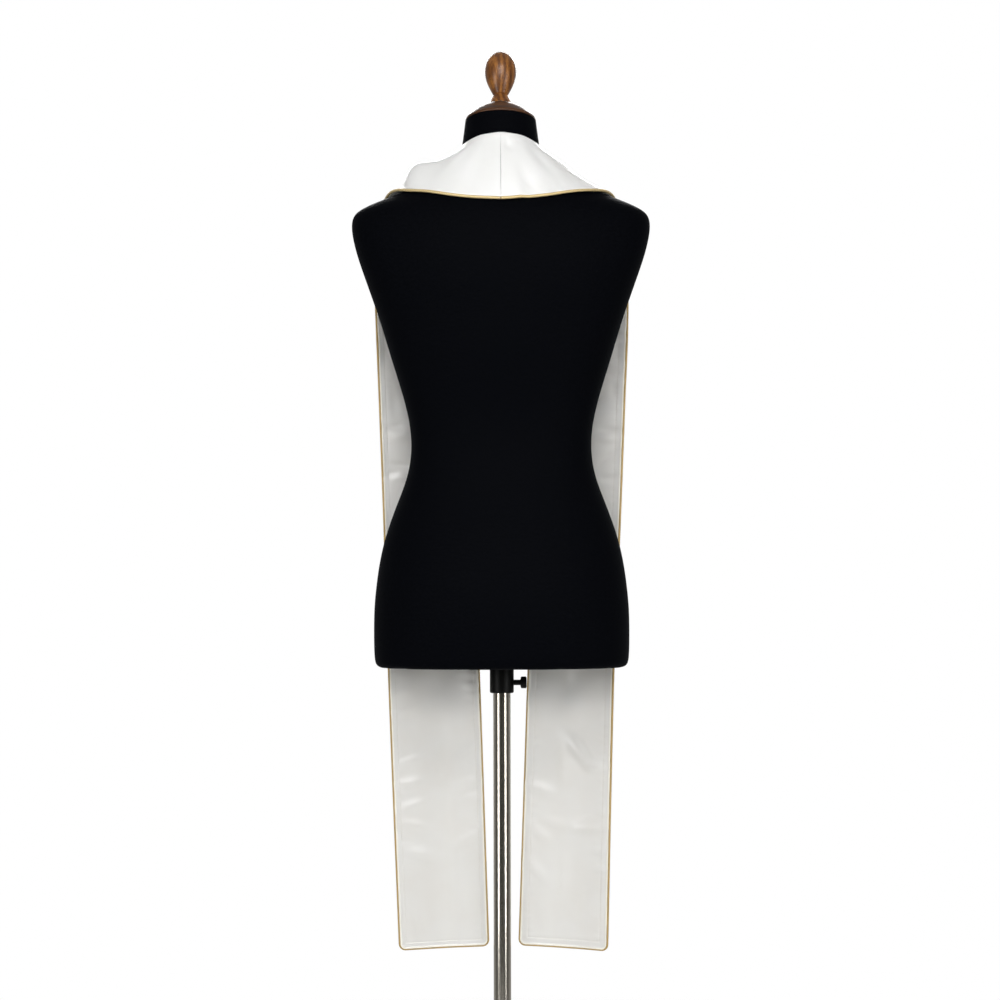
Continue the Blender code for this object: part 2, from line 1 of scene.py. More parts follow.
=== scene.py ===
"""Clergy stole on a limbless dress form: the finishes, the fine cloth and the turned pieces.

Sizes are millimetres unless a name says metres, and the meshes are metres. Z is up, the form faces +Y
and the photograph looks along +Y, so it sees the form's back. Each half of the stole is worked out as
if it hung at +X and then put on its own side.
"""

import logging
import math
import random
from dataclasses import dataclass, field
from enum import Enum
from typing import Any, NamedTuple, Sequence

import bpy
import numpy as np
from mathutils import Matrix, Vector
from mathutils.bvhtree import BVHTree


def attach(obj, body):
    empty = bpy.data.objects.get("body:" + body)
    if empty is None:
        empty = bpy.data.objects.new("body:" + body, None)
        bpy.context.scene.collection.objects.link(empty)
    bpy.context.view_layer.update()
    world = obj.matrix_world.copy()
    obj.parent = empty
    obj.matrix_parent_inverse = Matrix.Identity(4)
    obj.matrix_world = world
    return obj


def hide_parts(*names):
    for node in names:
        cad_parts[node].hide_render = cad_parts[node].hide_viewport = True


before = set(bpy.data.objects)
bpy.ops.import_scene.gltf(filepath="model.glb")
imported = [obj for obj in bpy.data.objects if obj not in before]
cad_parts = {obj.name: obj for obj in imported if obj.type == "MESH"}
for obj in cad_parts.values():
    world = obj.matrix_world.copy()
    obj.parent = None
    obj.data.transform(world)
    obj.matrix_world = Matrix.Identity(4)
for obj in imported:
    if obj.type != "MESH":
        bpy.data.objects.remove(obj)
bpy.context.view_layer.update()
LOG = logging.getLogger("stole")
Piece = bpy.types.Object
Pair = tuple[np.ndarray, np.ndarray]

MM = 0.001
GAP = 0.3

# Dress form and stand, as the solids have them
FORM_BOTTOM = 808.0
POLE_IN_FORM = 300.0
POLE_RADIUS = 11.5
POLE_PLAY = 0.45
NECK_TOP = 1531.0
NECK_TOP_MIDDLE = 12.0
NECK_TOP_TILT = 10.0

# Stole, as the solids have it
PIPING_RADIUS = 2.2
CLOTH_CLEARANCE = 2.9
CLOTH_EASES = (1.5, 0.5, 0.2)
CLOTH_REACH = 25.0
END_CORNER = 5.5
EDGE_START = 0.8
BAND_START = 1.3  # where the seam allowance begins, off the lining's edge


class Side(Enum):
    """The two halves of the stole, named by the side of the photograph that they hang on."""

    LEFT = "left"
    RIGHT = "right"


class Brushing(Enum):
    """Direction in which a steel surface was brushed."""

    LENGTHWISE = "lengthwise"
    CIRCULAR = "circular"


class Section(NamedTuple):
    """One section across a finished half with its piping, mirrored to +X from either side."""

    run: float
    inner_x: float
    inner_y: float
    inner_z: float
    outer_x: float
    outer_y: float
    outer_z: float
    bow: float  # rise of its middle off the straight line between its edges
    skew: float  # moves that rise towards the inner edge where positive


class EdgeStep(NamedTuple):
    """One step of a layer's profile near its edge, plain and where it rolls over at the neck."""

    away: float  # from the cut edge into the cloth
    lift: float  # off the face between strip and lining
    rolled_away: float
    rolled_lift: float


class Fold(NamedTuple):
    """One soft ridge, or trough where its height is negative."""

    run: float
    away: float  # from the inner edge
    length: float  # half of it
    width: float  # half of it
    turn: float  # degrees from the run towards the outer edge
    height: float  # towards the outer face


SHOULDER_SECTIONS = [
    Section(0, 0.15, -44.5, 1508, 0.15, -85, 1414, 2, 0),
    Section(26, 14, -43, 1506.6, 37, -81, 1416, 2.5, 0),
    Section(47.5, 27, -37.5, 1504.6, 65, -76.5, 1419.4, 3, 0),
    Section(78, 45, -20, 1497, 97, -64.5, 1425.8, 5, 0.1),
    Section(110, 54, 8, 1488.5, 124, -46, 1429.8, 8, 0.2),
    Section(137, 55, 34, 1477, 141, -21, 1431.5, 6, 1.6),
    Section(173, 52.5, 57, 1450, 154, 16, 1425, 5, 0.8),
    Section(223, 49, 77, 1404, 166, 56, 1398, 6, 0),
    Section(274, 48, 99, 1356, 173, 82, 1358, 6, 0.2),
]

# How much further the left half bulges over its shoulder: run, extra bow and extra skew
LEFT_BULGE = [
    (0.0, 0.0, 0.0),
    (78.0, 0.0, 0.0),
    (110.0, 6.0, -1.5),
    (137.0, 11.0, -2.6),
    (173.0, 13.0, -1.6),
    (223.0, 8.0, -0.3),
    (274.0, 1.0, 0.0),
]

HANGING_SECTIONS = {
    Side.RIGHT: [
        Section(371, 52, 131, 1264, 174.5, 110, 1264, 8, 0.5),
        Section(458, 48, 138, 1178, 171, 115, 1177, 7, 0.3),
        Section(636, 42.5, 143, 1000, 163.7, 113, 998, 8, 0),
        Section(835, 35, 147, 802, 154.5, 111, 799, 8, 0),
        Section(1217, 21.3, 142, 421, 144.8, 116, 416, 5, 0),
    ],
    Side.LEFT: [
        Section(371, 50, 131, 1264, 172, 112, 1264, 8, 0.5),
        Section(458, 45, 136, 1178, 169, 122, 1177, 6, 0.3),
        Section(636, 37, 138, 1000, 162.7, 126, 998, 5, 0),
        Section(835, 29.5, 137, 802, 157, 130, 799, 3, 0),
        Section(1217, 17, 134, 421, 142, 127, 416, 4, 0),
    ],
}

# The satin strip rolls into the seam beside the cord, and over the cord round the neck
STRIP_EDGE = [
    EdgeStep(-0.75, 0.75, -4.5, -0.6),
    EdgeStep(-0.6, 1.1, -4.45, 0.2),
    EdgeStep(-0.1, 1.38, -4.0, 0.85),
    EdgeStep(0.8, 1.48, -3.1, 1.25),
    EdgeStep(2.2, 1.4, -1.5, 1.4),
    EdgeStep(4.2, 1.27, 1.5, 1.3),
    EdgeStep(6.5, 1.2, 5.5, 1.2),
    EdgeStep(9.0, 1.2, 9.0, 1.2),
]

# The lining stands up over the seam allowance, which ends in a groove 11 mm from the edge
LINING_EDGE = [
    EdgeStep(-1.9, -1.9, -0.6, -0.8),
    EdgeStep(-1.65, -2.25, -0.45, -1.0),
    EdgeStep(-0.9, -2.45, -0.2, -1.15),
    EdgeStep(0.0, -2.3, 0.2, -1.2),
    EdgeStep(0.7, -1.95, 0.7, -1.3),
    EdgeStep(1.3, -1.8, 1.3, -1.3),
    EdgeStep(3.2, -1.75, 3.2, -1.35),
    EdgeStep(6.0, -1.65, 6.0, -1.35),
    EdgeStep(8.6, -1.55, 8.6, -1.35),
    EdgeStep(9.9, -1.42, 9.9, -1.25),
    EdgeStep(10.7, -1.15, 10.7, -1.05),
    EdgeStep(11.5, -1.08, 11.5, -1.0),
    EdgeStep(12.6, -1.22, 12.6, -1.15),
    EdgeStep(14.5, -1.32, 14.5, -1.25),
]


def linear(hex_colour: str) -> tuple[float, float, float, float]:
    """Turn an sRGB hex colour such as #a0b0c0 into linear red, green, blue and alpha."""
    channels = []
    for start in (1, 3, 5):
        value = int(hex_colour[start:start + 2], 16) / 255
        channels.append(value / 12.92 if value <= 0.04045 else ((value + 0.055) / 1.055) ** 2.4)
    return channels[0], channels[1], channels[2], 1.0


def add_node(tree: bpy.types.NodeTree, kind: str, inputs: dict[Any, Any] | None = None,
             **settings: Any) -> bpy.types.Node:
    """Add a shader node with its settings, values and links.

    Args:
        tree: The node tree that it goes in.
        kind: The node's type name.
        inputs: What goes in each input: a value, or an output socket to link.
        **settings: The node's own properties.

    Returns:
        The node.
    """
    node = tree.nodes.new(kind)
    for name, value in settings.items():
        setattr(node, name, value)
    for name, value in (inputs or {}).items():
        if isinstance(value, bpy.types.NodeSocket):
            tree.links.new(value, node.inputs[name])
        else:
            node.inputs[name].default_value = value
    return node


def ramp(tree: bpy.types.NodeTree, factor: Any, stops: Sequence[tuple[float, str]]) -> Any:
    """Colour ramp through hex colours, each at its position.

    Args:
        tree: The node tree that it goes in.
        factor: The socket that drives it.
        stops: Positions from 0 to 1 and their colours, at least two.

    Returns:
        The ramp's colour socket.
    """
    node = add_node(tree, "ShaderNodeValToRGB", {"Fac": factor})
    points = node.color_ramp.elements
    while len(points) < len(stops):
        points.new(0.5)
    for point, (position, colour) in zip(points, stops):
        point.position = position
        point.color = linear(colour)
    return node.outputs["Color"]


class Shading:
    """A material that is being built, with short ways to add what the finishes share."""

    def __init__(self, name: str, space: str, constants: dict[str, Any]) -> None:
        """Start the material on UV or Object coordinates and set its shader's constants."""
        self.material = bpy.data.materials.new(name)
        self.material.use_nodes = True
        self.tree = self.material.node_tree
        self.shader = self.tree.nodes["Principled BSDF"]
        for socket, value in constants.items():
            self.shader.inputs[socket].default_value = value
        self.place = self.node("ShaderNodeTexCoord", {}, space)

    def node(self, kind: str, inputs: dict[Any, Any], output: Any, **settings: Any) -> Any:
        """Add a node and give one of its outputs."""
        return add_node(self.tree, kind, inputs, **settings).outputs[output]

    def link(self, **sources: Any) -> None:
        """Link sources to the shader's inputs, named with underscores for spaces."""
        for name, source in sources.items():
            self.tree.links.new(source, self.shader.inputs[name.replace("_", " ")])

    def stretch(self, vector: Any, *scale: float) -> Any:
        """Coordinate scaled along each axis."""
        return self.node("ShaderNodeMapping", {"Vector": vector, "Scale": scale}, "Vector")

    def noise(self, vector: Any, scale: float = 1.0, detail: float = 2.0) -> Any:
        """Soft noise, finer where its scale is larger."""
        return self.node("ShaderNodeTexNoise", {"Vector": vector, "Scale": scale, "Detail": detail}, "Fac")

    def bands(self, vector: Any, direction: str, period: float, **inputs: float) -> Any:
        """Waves at a period in millimetres on a coordinate in metres, along X, Y or the diagonal."""
        share = 10 if direction == "DIAGONAL" else 20
        values = {name.replace("_", " "): value for name, value in inputs.items()}
        values |= {"Vector": vector, "Scale": 2 * math.pi / (share * period * MM)}
        return self.node("ShaderNodeTexWave", values, "Fac", bands_direction=direction)

    def mix(self, factor: float, first: Any, second: Any) -> Any:
        """Blend of two values."""
        return self.node("ShaderNodeMix", {"Factor": factor, "A": first, "B": second}, "Result")

    def fit(self, value: Any, span: tuple[float, float], low: float = 0.0, high: float = 1.0,
            **settings: Any) -> Any:
        """A value's span laid out from low to high."""
        return self.node("ShaderNodeMapRange", {
            "Value": value, "From Min": span[0], "From Max": span[1], "To Min": low, "To Max": high},
            "Result", **settings)

    def emboss(self, height: Any, strength: float, depth: float) -> None:
        """Raise the shader's surface by a height whose depth is in millimetres."""
        self.link(Normal=self.node("ShaderNodeBump", {
            "Height": height, "Strength": strength, "Distance": depth * MM}, "Normal"))


@dataclass(frozen=True)
class SatinFinish:
    """Polyester satin, woven with long floats along the strip: pearly, soft, with faint streaks."""

    name: str
    colour: str
    shade: str
    edge_colour: str  # of the strip's edge, which shows along the lining's
    roughness: float = 0.40
    thread_mm: float = 0.7  # really about 0.15 mm, drawn coarser to show
    streak_mm: float = 60.0

    def build(self) -> bpy.types.Material:
        """Build the material on the piece's own UV map, which is in metres."""
        made = Shading(self.name, "UV", {
            "Specular IOR Level": 0.6, "Sheen Weight": 0.12, "Sheen Roughness": 0.4})
        threads = made.stretch(made.place, 1 / (self.thread_mm * MM), 1 / (self.streak_mm * MM), 1.0)
        streaks = made.noise(threads, detail=3.0)
        shades = ramp(made.tree, made.noise(made.place, 18.0), [(0.35, self.shade), (0.65, self.colour)])
        inset = made.node("ShaderNodeAttribute", {}, "Fac", attribute_name="inset")
        colour = made.node("ShaderNodeMix", {
            0: made.fit(inset, (-0.2, 0.5)), 6: linear(self.edge_colour), 7: shades}, 2, data_type="RGBA")
        gloss = made.fit(streaks, (0.3, 0.7), self.roughness - 0.06, self.roughness + 0.06)
        made.link(Base_Color=colour, Roughness=gloss)
        weave = made.bands(made.place, "DIAGONAL", self.thread_mm, Distortion=0.6, Detail=1.0)
        made.emboss(made.mix(0.35, streaks, weave), 0.12, 0.2)
        return made.material


@dataclass(frozen=True)
class JerseyFinish:
    """Black cotton jersey stretched over the form: matt, with fine upright ribs and a dusty edge."""

    name: str = "black_cotton_jersey"
    rib_mm: float = 1.6  # really about 0.8 mm, drawn coarser to show
    course_mm: float = 1.2

    def build(self) -> bpy.types.Material:
        """Build the material on the piece's own UV map, which is in metres."""
        made = Shading(self.name, "UV", {
            "Roughness": 0.7, "Specular IOR Level": 0.02, "Sheen Weight": 0.016, "Sheen Roughness": 0.4,
            "Sheen Tint": linear("#8a94a8")})
        fluff = made.noise(made.place, 300.0, 4.0)
        made.link(Base_Color=ramp(made.tree, fluff, [(0.3, "#020306"), (0.7, "#05060a")]))
        ribs = made.bands(made.place, "X", self.rib_mm, Distortion=0.3)
        courses = made.bands(made.place, "Y", self.course_mm, Distortion=0.5)
        made.emboss(made.mix(0.3, made.mix(0.4, ribs, courses), fluff), 0.35, 0.25)
        return made.material


@dataclass(frozen=True)
class VarnishedWoodFinish:
    """Turned walnut-stained hardwood under a satin varnish: warm streaks with a soft shine."""

    name: str
    centre: tuple[float, float, float]  # of the grain, in metres
    grain_turn: tuple[float, float, float]  # turns the grain off the upright
    stain: tuple[str, str, str]  # dark, middle and light grain
    ring_mm: float = 9.0

    def build(self) -> bpy.types.Material:
        """Build the material on Object coordinates, centred on the piece."""
        made = Shading(self.name, "Object", {
            "Roughness": 0.5, "Specular IOR Level": 0.1, "Coat Weight": 0.6, "Coat Roughness": 0.34,
            "Coat IOR": 1.5})
        centred = made.node("ShaderNodeMapping", {
            "Vector": made.place, "Location": self.centre, "Rotation": self.grain_turn}, "Vector",
            vector_type="TEXTURE")
        rings = made.bands(made.stretch(centred, 1.0, 1.0, 0.12), "X", self.ring_mm, Distortion=5.0,
                           Detail=3.0, Detail_Scale=1.5)
        pores = made.noise(made.stretch(centred, 1600.0, 1600.0, 60.0), detail=3.0)
        stops = list(zip((0.30, 0.50, 0.72), self.stain))
        made.link(Base_Color=ramp(made.tree, made.mix(0.78, rings, pores), stops))
        made.emboss(pores, 0.05, 0.1)
        return made.material


@dataclass(frozen=True)
class SteelFinish:
    """Stainless steel brushed with fine grit: clear reflections, a little stretched by the lines."""

    name: str
    brushing: Brushing
    roughness: float
    line_mm: float = 0.4  # really under 0.1 mm, drawn coarser to show

    def build(self) -> bpy.types.Material:
        """Build the material on Object coordinates, which the stand shares."""
        made = Shading(self.name, "Object", {"Metallic": 1.0})
        fine = 1 / (self.line_mm * MM)
        if self.brushing is Brushing.LENGTHWISE:
            source = made.stretch(made.place, fine, fine, 6.0)
        else:
            flat = made.stretch(made.place, fine, fine, 0.0)
            reach = made.node("ShaderNodeVectorMath", {0: flat}, "Value", operation="LENGTH")
            source = made.node("ShaderNodeCombineXYZ", {"X": reach}, "Vector")
        grit = made.noise(source)
        made.link(Base_Color=ramp(made.tree, grit, [(0.3, "#b2aca2"), (0.7, "#cbc6bd")]),
                  Roughness=made.fit(grit, (0.3, 0.7), self.roughness - 0.04, self.roughness + 0.05))
        made.emboss(grit, 0.04, 0.1)
        return made.material


@dataclass(frozen=True)
class MouldedPlasticFinish:
    """Black moulded nylon of the clamp: satin, with the fine grit of the mould."""

    name: str = "black_moulded_nylon"
    grit_mm: float = 0.5

    def build(self) -> bpy.types.Material:
        """Build the material on Object coordinates."""
        made = Shading(self.name, "Object", {"Specular IOR Level": 0.12})
        grit = made.noise(made.place, 1 / (self.grit_mm * MM))
        made.link(Base_Color=ramp(made.tree, grit, [(0.3, "#030303"), (0.7, "#060606")]),
                  Roughness=made.fit(grit, (0.0, 1.0), 0.36, 0.52))
        made.emboss(grit, 0.15, 0.1)
        return made.material


@dataclass(frozen=True)
class GoldCordFinish:
    """Cord of twisted rayon and metal thread: straw gold, with a painted highlight on the strands' crests
    and painted shade between the strands.
    """

    name: str = "gold_twisted_cord"
    fibres_round: float = 26.0

    def build(self) -> bpy.types.Material:
        """Build the material on the UV map, which follows the strands, and the attribute of painted light
        and shade on the strands.
        """
        made = Shading(self.name, "UV", {"Metallic": 0.25, "Specular IOR Level": 0.6})
        fibres = made.noise(made.stretch(made.place, 150.0, self.fibres_round, 1.0))
        painted_strand_light_and_shade = made.node("ShaderNodeAttribute", {}, "Fac", attribute_name="painted_strand_light_and_shade")
        # painted highlight and shade: pale straw where the attribute marks a strand's crest, dark brown in
        # the painted shade between strands
        stops = [(0.10, "#5a4220"), (0.50, "#ccae6e"), (0.85, "#f6e8b8")]
        made.link(Base_Color=ramp(made.tree, made.mix(0.35, painted_strand_light_and_shade, fibres), stops),
                  Roughness=made.fit(fibres, (0.0, 1.0), 0.38, 0.58))
        made.emboss(fibres, 0.3, 0.15)
        return made.material


@dataclass(frozen=True)
class ThreadFinish:
    """Spun polyester sewing thread: matt ivory with faint plies."""

    name: str = "ivory_sewing_thread"

    def build(self) -> bpy.types.Material:
        """Build the material on Object coordinates."""
        made = Shading(self.name, "Object", {"Roughness": 0.6})
        plies = made.noise(made.place, 2500.0)
        made.link(Base_Color=ramp(made.tree, plies, [(0.3, "#c9c3b6"), (0.7, "#e4dfd4")]))
        return made.material


@dataclass(frozen=True)
class FloorFinish:
    """Pale matt studio floor that fades out at its rim."""

    name: str = "pale_studio_floor"
    fade: tuple[float, float] = (1.2, 2.3)  # metres from the middle

    def build(self) -> bpy.types.Material:
        """Build the material, which mixes into clear towards the rim."""
        made = Shading(self.name, "Object", {"Roughness": 0.7})
        cloudy = made.noise(made.place, 3.0)
        made.link(Base_Color=ramp(made.tree, cloudy, [(0.3, "#eeeeec"), (0.7, "#f3f3f1")]))
        reach = made.node("ShaderNodeVectorMath", {0: made.place}, "Value", operation="LENGTH")
        clear = made.node("ShaderNodeBsdfTransparent", {}, "BSDF")
        mixed = made.node("ShaderNodeMixShader", {
            0: made.fit(reach, self.fade, interpolation_type="SMOOTHSTEP"),
            1: made.shader.outputs["BSDF"], 2: clear}, "Shader")
        made.tree.links.new(mixed, made.tree.nodes["Material Output"].inputs["Surface"])
        return made.material


def arc(middle: tuple[float, float], radius: float, start: float, end: float,
        count: int) -> list[tuple[float, float]]:
    """Points of an arc in a turned profile.

    Args:
        middle: Its centre as a radius and a height.
        radius: Its own radius.
        start: First angle in degrees from straight out.
        end: Last angle.
        count: Number of steps.

    Returns:
        The points as (radius, height) pairs.
    """
    points = []
    for index in range(count + 1):
        angle = math.radians(start + (end - start) * index / count)
        points.append((middle[0] + radius * math.cos(angle), middle[1] + radius * math.sin(angle)))
    return points


def turned(name: str, profile: Sequence[tuple[float, float]], steps: int) -> Piece:
    """Extrude a profile point by point and spin it round Z into a closed, smooth piece.

    Args:
        name: The piece's name.
        profile: Pairs of radius and height, from the top down the outer side.
        steps: Number of sides.

    Returns:
        The piece, at the origin.
    """
    bpy.ops.object.select_all(action="DESELECT")
    radius, height = profile[0]
    bpy.ops.mesh.primitive_plane_add(size=MM, location=(radius * MM, 0.0, height * MM))
    piece = bpy.context.object
    piece.name = name
    bpy.ops.object.transform_apply(location=True, rotation=False, scale=False)
    bpy.ops.object.mode_set(mode="EDIT")
    bpy.ops.mesh.select_all(action="SELECT")
    bpy.ops.mesh.merge(type="CENTER")
    for near, far in zip(profile, profile[1:]):
        move = ((far[0] - near[0]) * MM, 0.0, (far[1] - near[1]) * MM)
        bpy.ops.mesh.extrude_region_move(TRANSFORM_OT_translate={"value": move})
    bpy.ops.mesh.select_all(action="SELECT")
    bpy.ops.mesh.spin(steps=steps, angle=2 * math.pi, axis=(0.0, 0.0, 1.0), center=(0.0, 0.0, 0.0))
    bpy.ops.mesh.select_all(action="SELECT")
    bpy.ops.mesh.remove_doubles(threshold=0.002 * MM)
    bpy.ops.mesh.normals_make_consistent(inside=False)
    bpy.ops.object.mode_set(mode="OBJECT")
    bpy.ops.object.shade_smooth_by_angle(angle=math.radians(35.0))
    return piece


def settle(piece: Piece, place: Matrix) -> None:
    """Move a piece's mesh by a matrix in millimetres, so that its object stays at the origin."""
    metres = place.copy()
    metres.translation = place.translation * MM
    piece.data.transform(metres)
    piece.data.update()


def dress(piece: Piece, material: bpy.types.Material, body: str, node: str | None) -> None:
    """Give a piece its finish, its body and the solid that it stands for, and report it.

    Args:
        piece: The finished piece.
        material: Its material.
        body: The body that it rides on.
        node: The solid that it replaces, if any.
    """
    piece.data.materials.clear()
    piece.data.materials.append(material)
    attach(piece, body)
    if node:
        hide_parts(node)
    LOG.info("%s: %d faces, rides on %s", piece.name, len(piece.data.polygons), body)


def mesh_object(name: str, points: np.ndarray, faces: Sequence[Sequence[int]] | np.ndarray,
                uv: np.ndarray | None = None) -> Piece:
    """Make a smooth mesh object.

    Args:
        name: The object's name.
        points: Its points in millimetres, one row each.
        faces: The point numbers of each face.
        uv: A UV pair for each point, in metres, if it has a map.

    Returns:
        The object, linked to the scene.
    """
    mesh = bpy.data.meshes.new(name)
    mesh.from_pydata((points * MM).tolist(), [], [list(map(int, face)) for face in faces])
    if uv is not None:
        layer = mesh.uv_layers.new(name="cloth")
        corners = np.zeros(len(mesh.loops), np.int32)
        mesh.loops.foreach_get("vertex_index", corners)
        layer.data.foreach_set("uv", uv[corners].astype(np.float32).ravel())
    mesh.shade_smooth()
    made = bpy.data.objects.new(name, mesh)
    bpy.context.scene.collection.objects.link(made)
    return made


def pick(piece: Piece) -> None:
    """Select one piece by itself."""
    bpy.ops.object.select_all(action="DESELECT")
    piece.select_set(True)
    bpy.context.view_layer.objects.active = piece


def modify(piece: Piece, kind: str, **settings: Any) -> None:
    """Add a modifier with its settings and apply it."""
    pick(piece)
    modifier = piece.modifiers.new(kind.lower(), kind)
    for name, value in settings.items():
        setattr(modifier, name, value)
    bpy.ops.object.modifier_apply(modifier=modifier.name)


@dataclass
class Stand:
    """Brushed steel base plate, hub and pole."""

    base_radius: float = 170.0
    base_thickness: float = 7.0
    base_chamfer: float = 0.6
    inner_ring: float = 60.0  # splits the plate's flat faces
    edge: float = 2.0
    hub_radius: float = 27.0
    hub_neck_radius: float = 16.0
    hub_height: float = 34.0
    hub_flare: float = 0.9  # share of the step from neck to foot that is rounded
    hub_rim: float = 1.0
    pole_wall: float = 1.2
    pole_chamfer: float = 0.4

    def base_plate(self) -> Piece:
        """Turn the plate, with a rounded upper edge and a small chamfer below."""
        top, ring, low = self.base_thickness, self.inner_ring, self.base_chamfer
        rim = self.base_radius - self.edge
        profile = [(0.0, top), (ring, top), (rim, top)]
        profile += arc((rim, top - self.edge), self.edge, 90.0, 0.0, 6)
        profile += [(self.base_radius, low), (self.base_radius - low, 0.0), (ring, 0.0), (0.0, 0.0)]
        return turned("steel_base_plate", profile, 128)

    def hub(self) -> Piece:
        """Turn the flared hub, a tube that the pole stands in."""
        bottom = self.base_thickness + GAP
        bore = POLE_RADIUS + POLE_PLAY
        neck, edge, rim = self.hub_neck_radius, self.edge, self.hub_rim
        flare = (self.hub_radius - neck - edge) * self.hub_flare
        profile = [(bore, self.hub_height)]
        profile += arc((neck, self.hub_height - edge), edge, 90.0, 0.0, 5)
        profile += arc((neck + edge + flare, bottom + edge + flare), flare, 180.0, 270.0, 8)
        profile += arc((self.hub_radius - rim, bottom + edge - rim), rim, 90.0, 0.0, 3)
        profile += [(self.hub_radius, bottom), (bore, bottom), (bore, self.hub_height)]
        return turned("steel_hub", profile, 64)

    def pole(self) -> Piece:
        """Turn the tube, which ends inside the form."""
        bottom = self.base_thickness + GAP
        top = FORM_BOTTOM + POLE_IN_FORM
        inside = POLE_RADIUS - self.pole_wall
        profile = [(inside, top), (POLE_RADIUS - self.pole_chamfer, top),
                   (POLE_RADIUS, top - self.pole_chamfer)]
        profile += [(POLE_RADIUS, bottom + (top - bottom) * part) for part in (0.75, 0.5, 0.25, 0.0)]
        profile += [(inside, bottom), (inside, top)]
        return turned("steel_pole", profile, 64)

    def build(self) -> None:
        """Build and dress the three pieces."""
        circular = SteelFinish("steel_brushed_in_circles", Brushing.CIRCULAR, 0.3).build()
        lengthwise = SteelFinish("steel_brushed_lengthwise", Brushing.LENGTHWISE, 0.17).build()
        dress(self.base_plate(), circular, "stand", "base_plate")
        dress(self.hub(), circular, "stand", "base_hub")
        dress(self.pole(), lengthwise, "pole", "pole")


@dataclass
class Clamp:
    """Black collar under the torso and the thumb screw in it."""

    radius: float = 15.8
    height: float = 33.5
    upper_edge: float = 0.6
    chamfer: float = 2.0
    screw_drop: float = 20.0
    stem_radius: float = 3.6
    stem_end: float = 24.8
    knob_radius: float = 7.8
    knob_length: float = 8.0
    knob_edge: float = 0.8
    dish_rim: float = 1.2
    dish_depth: float = 0.5
    dish_chamfer: float = 0.3
    ribs: int = 16
    rib_depth: float = 0.7
    rib_edge: float = 0.18

    def collar(self) -> Piece:
        """Turn the collar, with a soft upper edge and a chamfered lower one."""
        top = FORM_BOTTOM - GAP
        bottom = top - self.height
        bore = POLE_RADIUS + POLE_PLAY
        edge, low = self.upper_edge, self.chamfer
        profile = [(bore, top)]
        profile += arc((self.radius - edge, top - edge), edge, 90.0, 0.0, 3)
        profile += arc((self.radius - low, bottom + low), low, 0.0, -90.0, 5)
        profile += [(bore, bottom), (bore, top)]
        return turned("clamp_collar", profile, 64)

    def screw(self) -> Piece:
        """Turn the stem and the knob's core, and raise ribs from every second face of the knob."""
        core = self.knob_radius - self.rib_depth
        near, edge = self.stem_end, self.knob_edge
        end = near + self.knob_length
        rim = core - edge
        dish = rim - self.dish_rim
        sunk = end - self.dish_depth
        profile = [(0.0, end), (dish - self.dish_chamfer, end), (dish, sunk), (rim, sunk), (rim, end),
                   (core, end - edge), (core, near + edge), (rim, near), (self.stem_radius + edge, near),
                   (self.stem_radius, near - edge), (self.stem_radius, POLE_RADIUS + POLE_PLAY),
                   (0.0, POLE_RADIUS + POLE_PLAY)]
        piece = turned("thumb_screw", profile, 2 * self.ribs)
        bpy.ops.object.mode_set(mode="EDIT")
        bpy.ops.mesh.select_all(action="DESELECT")
        bpy.ops.object.mode_set(mode="OBJECT")
        for face in piece.data.polygons:
            angle = math.atan2(face.center.y, face.center.x) * self.ribs / math.pi
            on_side = math.hypot(face.center.x, face.center.y) > (core - 0.2) * MM
            face.select = on_side and math.floor(angle) % 2 == 0 and abs(face.normal.z) < 0.1
        bpy.ops.object.mode_set(mode="EDIT")
        bpy.ops.mesh.extrude_region_shrink_fatten(TRANSFORM_OT_shrink_fatten={"value": self.rib_depth * MM})
        bpy.ops.object.mode_set(mode="OBJECT")
        modify(piece, "BEVEL", width=self.rib_edge * MM, segments=2)
        bpy.ops.object.shade_smooth_by_angle(angle=math.radians(40.0))
        place = Matrix.Translation((0.0, 0.0, FORM_BOTTOM - self.screw_drop))
        settle(piece, place @ Matrix.Rotation(math.radians(90.0), 4, "Y"))
        return piece

    def build(self) -> None:
        """Build and dress both pieces."""
        nylon = MouldedPlasticFinish().build()
        dress(self.collar(), nylon, "form", "pole_collar")
        dress(self.screw(), nylon, "screw", "clamp_screw")


